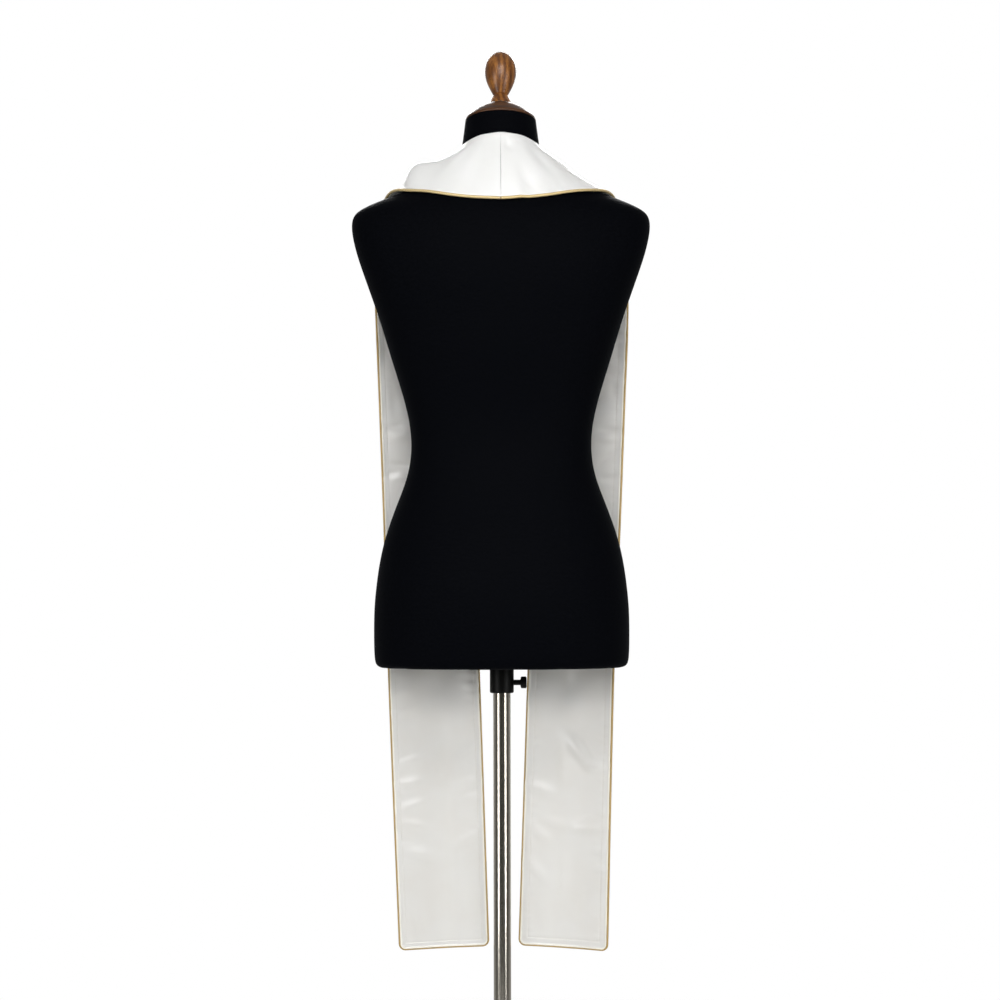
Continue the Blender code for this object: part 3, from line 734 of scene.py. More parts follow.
@dataclass
class NeckTop:
    """Turned wooden cap and egg-shaped finial on the tilted neck."""

    cap_radius: float = 47.0
    cap_lip: float = 3.0
    cap_rise: float = 23.0
    cap_step: float = 0.9  # from the dome in to the lip's bead
    foot_radius: float = 17.2
    foot_edge: float = 0.9
    foot_flare: float = 1.1  # more keeps the foot slim for longer
    waist_radius: float = 9.5
    waist_height: float = 38.0
    groove: float = 0.7
    bead: float = 0.5
    egg_radius: float = 21.0
    egg_height: float = 71.5
    top_height: float = 98.5

    def dome(self) -> tuple[float, float]:
        """Radius of the cap's dome and the height of its middle."""
        radius = (self.cap_radius**2 + self.cap_rise**2) / (2 * self.cap_rise)
        return radius, self.cap_lip + self.cap_rise - radius

    def place(self) -> Matrix:
        """Where the pieces go, from the upright."""
        shift = Matrix.Translation((0.0, NECK_TOP_MIDDLE, NECK_TOP))
        return shift @ Matrix.Rotation(-math.radians(NECK_TOP_TILT), 4, "X")

    def cap(self) -> Piece:
        """Turn the domed cap, with a fine step above its lip."""
        radius, middle = self.dome()
        rim = self.cap_radius - 0.8
        rim_angle = math.degrees(math.acos(rim / radius))
        flat_angle = math.degrees(math.acos(self.waist_radius / radius))
        lip = (self.cap_lip - GAP) / 2
        profile = [(0.0, middle + radius * math.sin(math.radians(flat_angle)))]
        profile += arc((0.0, middle), radius, flat_angle, rim_angle, 24)
        profile += [(rim - self.cap_step, self.cap_lip - 0.05)]
        profile += arc((self.cap_radius - lip, GAP + lip), lip, 70.0, -80.0, 8)
        profile += [(self.cap_radius - lip - 0.5, GAP), (30.0, GAP), (0.0, GAP)]
        return turned("wooden_neck_cap", profile, 96)

    def finial(self) -> Piece:
        """Turn the finial: egg, waist with a fine groove, and a foot that flares to the cap."""
        radius, middle = self.dome()
        foot = middle + math.sqrt(radius**2 - self.foot_radius**2)
        egg, waist, high = self.egg_radius, self.waist_radius, self.waist_height
        profile = [(0.0, self.top_height)]
        for step in range(1, 17):
            angle = math.radians(90.0 - 90.0 * step / 16)
            rise = (self.top_height - self.egg_height) * math.sin(angle)
            profile.append((egg * math.cos(angle), self.egg_height + rise))
        for step in range(1, 19):
            narrowing = (egg - waist) * (1 - math.cos(math.pi / 2 * step / 18))
            profile.append((egg - narrowing, self.egg_height - (self.egg_height - high) * step / 18))
        neck = (waist + self.bead, high - 1.1)
        profile += [(waist - self.groove, high - 0.5), neck]
        for step in range(1, 9):
            flare = (self.foot_radius - self.foot_edge - waist) * (step / 8)**self.foot_flare
            profile.append((neck[0] + flare, neck[1] - (high - foot - 2.6) * step / 8))
        edge = foot + 2 * GAP
        profile += [(self.foot_radius - self.foot_edge, edge + 0.8), (self.foot_radius, edge + 0.5),
                    (self.foot_radius, edge), (waist, foot + 2.0), (0.0, foot + 2.0)]
        return turned("wooden_finial", profile, 64)

    def build(self) -> None:
        """Build, place and dress both pieces."""
        centre = (0.004, NECK_TOP_MIDDLE * MM, (NECK_TOP + 50.0) * MM)
        upright = VarnishedWoodFinish("varnished_wood_upright", centre, (0.0, 0.0, 0.4),
                                      ("#4c2a0e", "#7b491a", "#ab702e")).build()
        level = VarnishedWoodFinish("varnished_wood_level", centre, (0.0, math.pi / 2, 0.1),
                                    ("#331a08", "#4b2c13", "#643d1d")).build()
        for piece, finish, node in ((self.cap(), level, "neck_cap"), (self.finial(), upright, "finial")):
            settle(piece, self.place())
            dress(piece, finish, "form", node)


@dataclass
class DressForm:
    """Jersey-covered torso and neck, rounded from the solid."""

    levels: int = 2
    knit_girth: float = 0.9  # metres round that the knit is laid out over
    piece: Piece | None = None

    def cover(self) -> Piece:
        """Copy the solid, merge it, crease its rims and round it."""
        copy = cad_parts["form_torso"].data.copy()
        piece = bpy.data.objects.new("jersey_torso", copy)
        bpy.context.scene.collection.objects.link(piece)
        pick(piece)
        bpy.ops.mesh.customdata_custom_splitnormals_clear()
        bpy.ops.object.mode_set(mode="EDIT")
        bpy.ops.mesh.select_all(action="SELECT")
        bpy.ops.mesh.remove_doubles(threshold=0.01 * MM)
        bpy.ops.mesh.tris_convert_to_quads(face_threshold=math.radians(60.0),
                                           shape_threshold=math.radians(70.0))
        bpy.ops.mesh.select_all(action="DESELECT")
        bpy.ops.mesh.edges_select_sharp(sharpness=math.radians(62.0))
        bpy.ops.transform.edge_crease(value=1.0)
        bpy.ops.object.mode_set(mode="OBJECT")
        modify(piece, "SUBSURF", levels=self.levels, render_levels=self.levels)
        bpy.ops.object.shade_smooth_by_angle(angle=math.radians(50.0))
        return piece

    def lay_knit(self, piece: Piece) -> None:
        """Give the piece a UV map in metres, round the form and up it."""
        mesh = piece.data
        while mesh.uv_layers:
            mesh.uv_layers.remove(mesh.uv_layers[0])
        layer = mesh.uv_layers.new(name="knit")
        for face in mesh.polygons:
            turns = []
            for corner in face.vertices:
                place = mesh.vertices[corner].co
                turns.append(math.atan2(place.y, place.x) / (2 * math.pi))
            wraps = max(turns) - min(turns) > 0.5
            for loop, corner, turn in zip(face.loop_indices, face.vertices, turns):
                around = turn + 1.0 if wraps and turn < 0.0 else turn
                layer.data[loop].uv = (around * self.knit_girth, mesh.vertices[corner].co.z)

    def surface(self) -> BVHTree:
        """Search tree of the torso's faces in millimetres."""
        mesh = self.piece.data
        points = [vertex.co / MM for vertex in mesh.vertices]
        faces = [tuple(face.vertices) for face in mesh.polygons]
        return BVHTree.FromPolygons(points, faces)

    def build(self) -> None:
        """Build and dress the torso."""
        self.piece = self.cover()
        self.lay_knit(self.piece)
        dress(self.piece, JerseyFinish().build(), "form", "form_torso")


# Folds that show on the hanging ends, the sides and the nape, and similar ones on the hidden front,
# each with its run, away, length, width, turn and height
FOLD_ROWS = {
    Side.LEFT: [
        # hanging end, from the torso's hem down
        (852, 42, 34, 26, 2, 3.8), (850, 93, 22, 9, 0, -1.2), (865, 106, 13.2, 5.4, 70, -1.1),
        (892, 104, 15.4, 5.4, 68, -1.2), (843, 8, 8.8, 4.7, 86, -1), (858, 9, 9.9, 4.7, 92, -1.1),
        (871, 8, 8.8, 4.7, 84, -0.8), (911, 80, 26, 13, -6, -1.6), (972, 47, 62, 12, -1, 1),
        (1122, 45, 92, 13, 1, 1.2), (946, 17, 16, 7, 58, -1.1), (992, 18, 17, 7, 64, -1.4),
        (1012, 13, 12, 5.5, 74, -1), (1068, 19, 19, 7, 60, -1.5), (960, 98, 17, 6.5, 76, -1.1),
        (990, 99, 17, 7, 80, -1.3), (1021, 97, 18, 7, 75, -1.2), (1047, 94, 20, 6.5, 106, -1.2),
        (1086, 90, 24, 8.5, 105, -1.5), (1155, 21, 20, 8, 3, -1.2), (1180, 92, 24, 9, -8, -1),
        # beside the waist
        (396, 104, 15.4, 7.8, 4, 1.8), (383, 107, 7.7, 4.7, 86, 1.1), (470, 98, 20, 6, -4, 0.8),
        (501, 100, 12.1, 5, 84, 1.4), (515, 92, 13.2, 6.2, 80, -1.2), (553, 97, 15.4, 5, 96, 1.6),
        (565, 106, 8.8, 4.3, 88, 1.1), (571, 95, 11, 5.4, 90, -1.1), (618, 90, 26, 8, 6, -1),
        # nape and shoulder
        (30, 56, 40, 13, 88, -1), (158, 96, 26, 15, 10, -5), (134, 84, 28, 17, 0, -3),
        (63, 30, 26, 8, 70, 0.8), (120, 60, 34, 10, 30, 1.1),
        # chest and front, which the photograph hides
        (212, 34, 46, 8, 12, 1.4), (262, 82, 52, 9, -8, 1.6), (330, 52, 44, 10, 4, -1.5),
        (398, 26, 30, 6, 16, 1.1), (446, 64, 28.6, 7.8, 62, 1.4), (532, 38, 42, 9, -6, 1.4),
        (596, 20, 17.6, 6.2, 66, 1.2), (660, 60, 50, 11, 5, 1.6), (712, 92, 19.8, 6.5, 104, 1.2),
        (748, 26, 34, 8, -4, 1.2), (795, 72, 30, 9, 8, -1.2),
    ],
    Side.RIGHT: [
        # hanging end, from the torso's hem down
        (850, 48, 30, 26, -2, 3.8), (862, 102, 23.1, 7.8, 0, 0.8), (946, 70, 27, 8.5, 42, -1.7),
        (967, 95, 14, 7, 86, -1.3), (1001, 20, 19, 8, 71, -1.6), (962, 47, 30, 11, 0, 0.8),
        (872, 8, 7.7, 4.3, 88, -0.8), (881, 9, 8.8, 4.3, 94, -0.8), (1047, 43, 17, 7, 78, -1),
        (1048, 88, 23, 8.5, 98, -1.8), (1062, 21, 17, 7, 50, -1.3), (1112, 17, 18, 7, 44, -1.3),
        (1114, 51, 30, 10, 2, 1.1), (1030, 107, 9, 4.5, 86, -0.6), (1080, 106, 10, 5, 94, -0.7),
        (1106, 107, 9, 4.5, 92, -0.6), (1160, 84, 30, 10, -6, 1), (1172, 30, 24, 9, 5, -0.9),
        # beside the waist
        (399, 104, 19.8, 7.8, 3, 1.9), (376, 106, 8.8, 4.7, 82, 1.2), (384, 104, 7.7, 4.3, 86, -0.8),
        (417, 104, 7.7, 5, 78, -1), (432, 102, 12.1, 5, 78, 1.2), (452, 103, 13.2, 5.3, 6, 1.1),
        (508, 98, 16.5, 5.6, 88, 1.6), (518, 96, 14.3, 5.6, 84, -1.1), (545, 95, 15.4, 5.6, 120, 1.4),
        (572, 98, 15.4, 5.3, 90, 1.4), (624, 92, 24, 8, -5, -1),
        # nape and shoulder
        (19, 88, 28.6, 7, 86, 1.2), (28, 84, 26.4, 7.8, 88, -1.1), (14, 16, 7.7, 7.8, 80, -1.1),
        (58, 42, 30, 8, 74, -0.8), (122, 52, 34, 24, 0, -3), (128, 56, 32, 11, 26, 1.1),
        # chest and front, which the photograph hides
        (206, 76, 44, 8, -10, 1.5), (252, 30, 48, 9, 7, 1.5), (322, 66, 40, 9, -5, -1.4),
        (408, 34, 30.8, 7.8, 28, 1.4), (468, 72, 26.4, 7.1, 112, 1.3), (548, 48, 46, 10, 5, 1.5),
        (622, 22, 19.8, 6.5, 70, 1.2), (690, 40, 44, 10, -3, 1.5), (724, 92, 18.7, 6.2, 82, 1.2),
        (772, 74, 40, 10, 4, 1.3),
    ],
}
FOLDS = {side: [Fold(*row) for row in rows] for side, rows in FOLD_ROWS.items()}


def smoothstep(values: Any, start: float, end: float) -> Any:
    """Rise softly from 0 at start to 1 at end."""
    part = np.clip((values - start) / (end - start), 0.0, 1.0)
    return part * part * (3 - 2 * part)


def smooth_columns(keys: np.ndarray, values: np.ndarray, at: np.ndarray) -> np.ndarray:
    """Read columns of a table between its rows, along smooth curves through them.

    Args:
        keys: The rising key of each row.
        values: The columns' values, one row each.
        at: Where to read, also past the table's ends.

    Returns:
        The values, with a last axis for the columns.
    """
    last = len(keys) - 1
    before = np.maximum(np.arange(last + 1) - 1, 0)
    after = np.minimum(np.arange(last + 1) + 1, last)
    slopes = (values[after] - values[before]) / (keys[after] - keys[before])[:, None]
    row = np.clip(np.searchsorted(keys, at, "left") - 1, 0, last - 1)
    step = (keys[row + 1] - keys[row])[..., None]
    part = (at - keys[row])[..., None] / step
    rise = values[row + 1] - values[row]
    bend_start = slopes[row] * step - rise
    bend_end = rise - slopes[row + 1] * step
    inside = values[row] + rise * part + part * (1 - part) * (bend_start * (1 - part) + bend_end * part)
    below = values[row] + slopes[row] * part * step
    above = values[row + 1] + slopes[row + 1] * (part - 1) * step
    return np.where(part < 0.0, below, np.where(part > 1.0, above, inside))


def unit(vectors: np.ndarray) -> np.ndarray:
    """Scale vectors on the last axis to length 1."""
    return vectors / np.maximum(np.linalg.norm(vectors, axis=-1, keepdims=True), 1e-9)


def lengths_along(places: np.ndarray) -> np.ndarray:
    """Distance along a path up to each of its points."""
    return np.concatenate([[0.0], np.cumsum(np.linalg.norm(np.diff(places, axis=0), axis=1))])


def quads(near: np.ndarray, after: np.ndarray) -> np.ndarray:
    """Faces between rows of point numbers and the numbers beside them in the same rows."""
    corners = [near[:-1], after[:-1], after[1:], near[1:]]
    return np.stack([corner.ravel() for corner in corners], axis=1)


def relief(folds: Sequence[Fold], run: np.ndarray, away: np.ndarray) -> np.ndarray:
    """Height of all the folds together over a grid whose rows run along the strip.

    Args:
        folds: The ridges and troughs.
        run: Run of each point of the grid.
        away: Distance of each point from the edge that the folds are measured from.

    Returns:
        The heights.
    """
    total = np.zeros(run.shape)
    rows = run[:, run.shape[1] // 2]
    for fold in folds:
        reach = 3 * max(fold.length, fold.width)
        first = int(np.searchsorted(rows, fold.run - reach))
        end = int(np.searchsorted(rows, fold.run + reach))
        if first >= end:
            continue
        down = run[first:end] - fold.run
        out = away[first:end] - fold.away
        turn = math.radians(fold.turn)
        along = (down * math.cos(turn) + out * math.sin(turn)) / fold.length
        side = (out * math.cos(turn) - down * math.sin(turn)) / fold.width
        total[first:end] += fold.height * np.exp(-(along**2) - side**2)
    return total


def edge_puckers(seed: int, length: float, line: float, depth: float) -> list[Fold]:
    """Small puckers along a seam, uneven in length, depth and spacing.

    Args:
        seed: Seed of their unevenness.
        length: Run that they go to.
        line: Distance of their middles from the edge.
        depth: Height of an average one.

    Returns:
        The puckers, measured from their own edge.
    """
    chance = random.Random(seed)
    puckers = []
    run = chance.uniform(12.0, 20.0)
    while run < length - 8.0:
        puckers.append(Fold(
            run,
            line + chance.uniform(-1.5, 3.5),
            chance.uniform(4.5, 10.0),
            chance.uniform(1.7, 3.2),
            90.0 + chance.uniform(-28.0, 28.0),
            depth * chance.uniform(0.4, 1.6),
        ))
        run += chance.uniform(7.0, 19.0)
    return puckers


@dataclass
class FaceGrid:
    """Fine grid over the face between strip and lining, read smoothly between its points."""

    run_start: float
    run_step: float
    across_start: float
    across_step: float
    places: np.ndarray
    normals: np.ndarray

    def read(self, run: np.ndarray, across: np.ndarray) -> Pair:
        """Read places and outward directions.

        Args:
            run: Runs along the strip.
            across: Parts across it, 0 at the inner edge and 1 at the outer.

        Returns:
            The places in millimetres and the unit directions.
        """
        rows, columns = self.places.shape[:2]
        row = (run - self.run_start) / self.run_step
        column = (across - self.across_start) / self.across_step
        row_before = np.clip(np.floor(row).astype(int), 1, rows - 3)
        column_before = np.clip(np.floor(column).astype(int), 1, columns - 3)
        row_weights = self.weights(row - row_before)
        column_weights = self.weights(column - column_before)
        places = np.zeros(run.shape + (3,))
        normals = np.zeros(run.shape + (3,))
        for up in range(4):
            for side in range(4):
                weight = (row_weights[up] * column_weights[side])[..., None]
                at = (row_before + up - 1, column_before + side - 1)
                places += weight * self.places[at]
                normals += weight * self.normals[at]
        return places, unit(normals)

    @staticmethod
    def weights(part: np.ndarray) -> list[np.ndarray]:
        """Weights of the four points round a place, for a curve through the points."""
        return [
            (-(part**3) + 2 * part**2 - part) / 2,
            (3 * part**3 - 5 * part**2 + 2) / 2,
            (-3 * part**3 + 4 * part**2 + part) / 2,
            (part**3 - part**2) / 2,
        ]


@dataclass
class StoleHalf:
    """One half of the stole, from the centre back seam over the shoulder to its hanging end."""

    side: Side
    surface: BVHTree
    cut_width: float = 138.0  # of each sheet before sewing
    cut_length: float = 1238.0
    mitre_share: float = 0.32  # of the width, taken off the length by the slanted end
    band: float = 1.0  # width of the seam allowance against the table's
    fold_scale: float = 2.0
    run_step: float = 2.0
    columns: int = 52
    step_along: float = 2.8
    meeting_reach: float = 14.0  # run in which the face's directions leave the mirror plane
    strip_cloth: float = 0.55  # thickness of the shell
    strip_columns: int = 38
    strip_puckers: tuple[float, float] = (7.0, 0.32)  # distance from the edge, and depth
    lining_cloth: float = 0.5
    lining_columns: int = 34
    lining_pucker_depth: float = 0.36
    pucker_rise: tuple[float, float] = (1.5, 5.0)  # distances from the edge over which they begin
    path_start: float = 0.2
    path_step: float = 2.0
    hem_points: int = 30
    seam_runs: tuple[float, ...] = (0.0, 0.4, 0.8, 1.3, 2.0, 3.0, 4.5, 6.5, 9.0)
    stitch_line: float = 9.4  # from the start of a seam allowance that has its full width
    stitch_pitch: float = 3.6
    stitch_length: float = 2.6
    cord_radius: float = 1.95
    cord_thinning: float = 0.3  # where it is drawn taut, below the shoulder
    # painted shade: how much darker the cord's colour is painted where it is drawn taut, below the shoulder
    cord_painted_shade: float = 0.5
    cord_pitch: float = 10.0  # of one whole turn of its three strands
    strand_depth: float = 0.42
    tucked_radius: float = 1.0
    cord_step: float = 1.15
    cord_taut: tuple[float, float] = (120.0, 260.0)  # runs over which it is drawn tighter
    tuck_ends: tuple[float, float] = (96.0, 138.0)  # runs over which the satin leaves the cord
    tuck_in: float = 0.4
    tuck_under: float = 0.5
    stitch_sink: float = 1.22
    seam_pull: float = 0.22  # share of the lift that the centre back seam takes away
    seam_reach: float = 1.3
    seam_overlap: float = 0.14
    ridge_height: float = 0.16  # of the seam allowance under the satin
    ridge_at: float = 3.4
    ridge_reach: float = 1.7
    keys: np.ndarray = field(init=False)
    table: np.ndarray = field(init=False)
    length: float = field(init=False)
    grid: FaceGrid = field(init=False)

    def __post_init__(self) -> None:
        """Join the shoulder and hanging sections of this side, and drape the face."""
        sections = np.array(SHOULDER_SECTIONS + HANGING_SECTIONS[self.side])
        self.keys = sections[:, 0]
        self.table = sections[:, 1:]
        self.length = float(self.keys[-1]) - 2 * PIPING_RADIUS - GAP
        self.grid = self.drape()

    def section(self, run: np.ndarray) -> tuple[np.ndarray, np.ndarray, np.ndarray, np.ndarray]:
        """Inner edge, outer edge, bow and skew of the cloth inside its piping.

        Args:
            run: Runs along the strip.

        Returns:
            Both edges' places, and the bow and its skew.
        """
        read = smooth_columns(self.keys, self.table, run)
        inner = read[..., 0:3]
        outer = read[..., 3:6]
        bow = read[..., 6]
        skew = read[..., 7]
        if self.side is Side.LEFT:
            bulge = np.array(LEFT_BULGE)
            extra = smooth_columns(bulge[:, 0], bulge[:, 1:], run)
            near = run < bulge[-1, 0]
            bow = bow + np.where(near, extra[..., 0], 0.0)
            skew = skew + np.where(near, extra[..., 1], 0.0)
        trim = unit(outer - inner) * (2 * PIPING_RADIUS + GAP)
        return inner + trim, outer - trim, bow, skew

    def width(self, run: np.ndarray) -> np.ndarray:
        """Straight width of the cloth at each run."""
        inner, outer, _, _ = self.section(run)
        return np.linalg.norm(outer - inner, axis=-1)

    def drape(self) -> FaceGrid:
        """Lay the face out with its folds and lift it off the torso."""
        runs = np.arange(-3 * self.run_step, self.length + 12.0, self.run_step)
        parts = np.linspace(0.0, 1.0, self.columns + 1)
        run = np.repeat(runs[:, None], len(parts), axis=1)
        across = np.repeat(parts[None, :], len(runs), axis=0)
        inner, outer, bow, skew = self.section(run)
        ahead_inner, ahead_outer, _, _ = self.section(run + 1.0)
        chord = outer - inner
        width = np.linalg.norm(chord, axis=-1)
        off = unit(np.cross(chord, ahead_inner - inner + ahead_outer - outer))
        crest = bow * 4 * across * (1 - across) * (1 + skew * (1 - 2 * across))
        folds = relief(FOLDS[self.side], run, across * width) * self.fold_scale
        places = inner + chord * across[..., None] + off * (crest + folds)[..., None]
        lean = np.where(across < 0.5, 1 + skew, 1 - skew)
        slope = np.maximum(0.0, 4 * bow * lean / width)
        dip = slope / np.hypot(1.0, slope)
        nearness = np.maximum(0.0, (np.abs(2 * across - 1) - EDGE_START) / (1 - EDGE_START))
        clearance = CLOTH_CLEARANCE + (PIPING_RADIUS + GAP) * dip * nearness
        for index in np.ndindex(run.shape):
            place = Vector(places[index])
            for ease in CLOTH_EASES:
                near, normal, _, distance = self.surface.find_nearest(place)
                if distance > CLOTH_REACH:
                    break
                depth = (place - near).dot(normal)
                place += normal * ease * math.log1p(math.exp((clearance[index] - depth) / ease))
            places[index] = place
        inner_slope = (places[:, 0] - places[:, 3]) / 3
        outer_slope = (places[:, -1] - places[:, -4]) / 3
        before = [places[:, 0] + inner_slope * count for count in (3, 2, 1)]
        after = [places[:, -1] + outer_slope * count for count in (1, 2, 3)]
        wide = np.concatenate([np.stack(before, 1), places, np.stack(after, 1)], axis=1)
        normals = np.cross(np.gradient(wide, axis=1), np.gradient(wide, axis=0))
        normals = unit(normals)
        normals[..., 0] *= smoothstep(runs, 0.0, self.meeting_reach)[:, None]
        step = 1 / self.columns
        return FaceGrid(float(runs[0]), self.run_step, -3 * step, step, wide, unit(normals))

    def read(self, run: np.ndarray, away: np.ndarray) -> Pair:
        """Places and outward directions of the face at runs and distances from the inner edge."""
        return self.grid.read(run, away / self.width(run))

    def to_model(self, points: np.ndarray) -> np.ndarray:
        """Put points on the side that this half hangs on."""
        if self.side is Side.LEFT:
            return points * np.array((-1.0, 1.0, 1.0))
        return points

    def tucked(self, run: np.ndarray) -> np.ndarray:
        """How far the satin rolls over the cord along the inner edge: 1 round the neck."""
        return 1.0 - smoothstep(run, *self.tuck_ends)

    def flat_grid(self, steps: np.ndarray, columns: int) -> Pair:
        """Runs and distances from the inner edge for a layer, rounded at the end's corners.

        Args:
            steps: Distances from the edge of the layer's outermost rows and columns.
            columns: Number of cells between the innermost of them.

        Returns:
            The runs and the distances.
        """
        last = self.length - steps[-1]
        start = self.seam_runs[-1]
        middle = np.linspace(start, last, round((last - start) / self.step_along) + 1)[1:]
        runs = np.concatenate([self.seam_runs, middle, self.length - steps[-2::-1]])
        width = self.width(runs)
        inside = np.linspace(steps[-1], width - steps[-1], columns + 1, axis=1)[:, 1:-1]
        beside = np.repeat(steps[None, :], len(runs), axis=0)
        away = np.concatenate([beside, inside, width[:, None] - steps[::-1]], axis=1)
        run = np.repeat(runs[:, None], away.shape[1], axis=1)
        down = END_CORNER - (self.length - run)
        for mirrored in (False, True):
            edge = width[:, None] - away if mirrored else away
            out = END_CORNER - edge
            corner = (down > 0.0) & (out > 0.0)
            shrink = np.maximum(down, out) / np.maximum(np.hypot(down, out), 1e-9)
            moved = np.where(corner, END_CORNER - out * shrink, edge)
            run = np.where(corner, self.length - END_CORNER + down * shrink, run)
            away = width[:, None] - moved if mirrored else moved
        return run, away

    def layer(self, name: str, edge: Sequence[EdgeStep], outward: bool, cloth: float, columns: int,
              puckers: Sequence[Sequence[Fold]]) -> Piece:
        """Make one layer as a thin shell.

        Args:
            name: The piece's name.
            edge: Its profile beside an edge.
            outward: Whether it is the strip, outside the middle face, or the lining.
            cloth: Thickness of the shell.
            columns: Number of cells between its edges' profiles.
            puckers: Puckers along the inner and the outer edge.

        Returns:
            The piece.
        """
        plain, lifts, rolled_away, rolled_lift = np.array(edge).T
        if not outward:
            plain = np.where(plain > BAND_START, BAND_START + (plain - BAND_START) * self.band, plain)
        run, away = self.flat_grid(plain, columns)
        width = self.width(run)
        square = np.minimum(np.minimum(away, width - away), self.length - run)
        rows, count = run.shape
        steps = len(plain)
        row_steps = np.full(rows, 1e3)
        row_steps[rows - steps:] = plain[::-1]
        column_steps = np.full(count, 1e3)
        column_steps[:steps] = plain
        column_steps[count - steps:] = plain[::-1]
        nearest = np.minimum(row_steps[:, None], column_steps[None, :])
        lift = np.interp(nearest, plain, lifts)
        roll = self.tucked(run[:, :steps])
        away[:, :steps] += roll * (rolled_away - plain)[None, :]
        lift[:, :steps] += roll * (rolled_lift - lifts)[None, :]
        bumps = relief(puckers[0], run, away) + relief(puckers[1], run, width - away)
        lift += bumps * smoothstep(square, *self.pucker_rise) * (1.0 if outward else -1.0)
        places, normals = self.read(run, away)
        seam = np.exp(-(places[..., 0] / self.seam_reach) ** 2)
        ridge = np.exp(-((places[..., 0] - self.ridge_at) / self.ridge_reach) ** 2)
        lift = lift * (1 - self.seam_pull * seam) + self.ridge_height * ridge * outward
        places[..., 0] -= self.seam_overlap * seam
        points = self.to_model(places + normals * lift[..., None])
        numbers = np.arange(rows * count).reshape(rows, count)
        faces = quads(numbers[:, :-1], numbers[:, 1:])
        if outward == (self.side is Side.LEFT):
            faces = faces[:, ::-1]
        uv = np.stack([away.ravel(), run.ravel()], axis=1) * MM
        piece = mesh_object(name, points.reshape(-1, 3), faces, uv)
        inset = piece.data.attributes.new("inset", "FLOAT", "POINT")
        inset.data.foreach_set("value", np.minimum(nearest, 20.0).astype(np.float32).ravel())
        modify(piece, "SOLIDIFY", thickness=cloth * MM, offset=-1.0, use_rim=True)
        return piece

    def edge_path(self, offset: float, spacing: float, corner: float) -> Pair:
        """Path down the outer edge, across the hem and up the inner edge, evenly spaced.

        Args:
            offset: How far inside the cut edge it goes, outside where negative.
            spacing: Distance between its points.
            corner: Radius of its corners at the end.

        Returns:
            The runs and the distances from the inner edge.
        """
        stop = self.length - offset
        between = np.arange(self.path_step, stop - corner, self.path_step)
        runs = np.concatenate([[self.path_start], between, [stop - corner]])
        widths = self.width(runs)
        end_width = float(self.width(np.array([self.length]))[0])
        turns = np.radians(np.arange(9.0, 90.0, 9.0))
        hem = np.linspace(end_width - offset - corner, offset + corner, self.hem_points)
        run = np.concatenate([
            runs, stop - corner + corner * np.sin(turns), np.full(self.hem_points, stop),
            stop - corner + corner * np.sin(turns[::-1]), runs[::-1]])
        away = np.concatenate([
            widths - offset, end_width - offset - corner + corner * np.cos(turns), hem,
            offset + corner - corner * np.cos(turns[::-1]), np.full(len(runs), offset)])
        reach = lengths_along(self.read(run, away)[0])
        even = np.linspace(0.0, reach[-1], max(2, round(reach[-1] / spacing)) + 1)
        return np.interp(even, reach, run), np.interp(even, reach, away)

    def cord(self, name: str) -> Piece:
        """Sweep the twisted cord round the free edges, thinner where the satin covers it, and paint light
        and shade on its strands.
        """
        off = PIPING_RADIUS + GAP
        run, away = self.edge_path(-off, self.cord_step, END_CORNER + off)
        covered = self.tucked(run) * (away < 30.0)
        places, normals = self.read(run, away - self.tuck_in * covered)
        places = places - normals * (self.tuck_under * covered)[:, None]
        taut = smoothstep(run, *self.cord_taut)
        drawn = self.cord_radius - self.cord_thinning * taut
        radius = drawn + (self.tucked_radius - drawn) * covered
        ahead = unit(np.gradient(places, axis=0))
        sideways = unit(np.cross(ahead, normals))
        upright = np.cross(sideways, ahead)
        reach = lengths_along(places)
        sides = 14
        turns = 2 * np.pi * np.arange(sides) / sides
        wound = turns[None, :] / (2 * np.pi) - reach[:, None] / self.cord_pitch
        strands = np.abs(np.cos(3 * np.pi * wound))
        around = radius[:, None] * (1 - self.strand_depth * 0.5 * (1 - strands))
        points = places[:, None, :] + around[..., None] * (
            np.cos(turns)[None, :, None] * sideways[:, None, :]
            + np.sin(turns)[None, :, None] * upright[:, None, :])
        numbers = np.arange(len(run) * sides).reshape(len(run), sides)
        faces = quads(numbers, np.roll(numbers, -1, axis=1)).tolist()
        faces += [numbers[0][::-1].tolist(), numbers[-1].tolist()]
        if self.side is Side.RIGHT:
            faces = [face[::-1] for face in faces]
        twist = np.stack([np.repeat(reach[:, None], sides, axis=1) * MM, wound], axis=-1)
        piece = mesh_object(name, self.to_model(points.reshape(-1, 3)), faces, twist.reshape(-1, 2))
        # painted light and shade: 1 on each strand's crest as a painted highlight, 0 between strands as
        # painted shade, all darker below the shoulder as painted shade
        painted_strand_light_and_shade = piece.data.attributes.new("painted_strand_light_and_shade", "FLOAT", "POINT")
        crest = strands * (1 - self.cord_painted_shade * taut[:, None])
        painted_strand_light_and_shade.data.foreach_set("value", crest.astype(np.float32).ravel())
        return piece

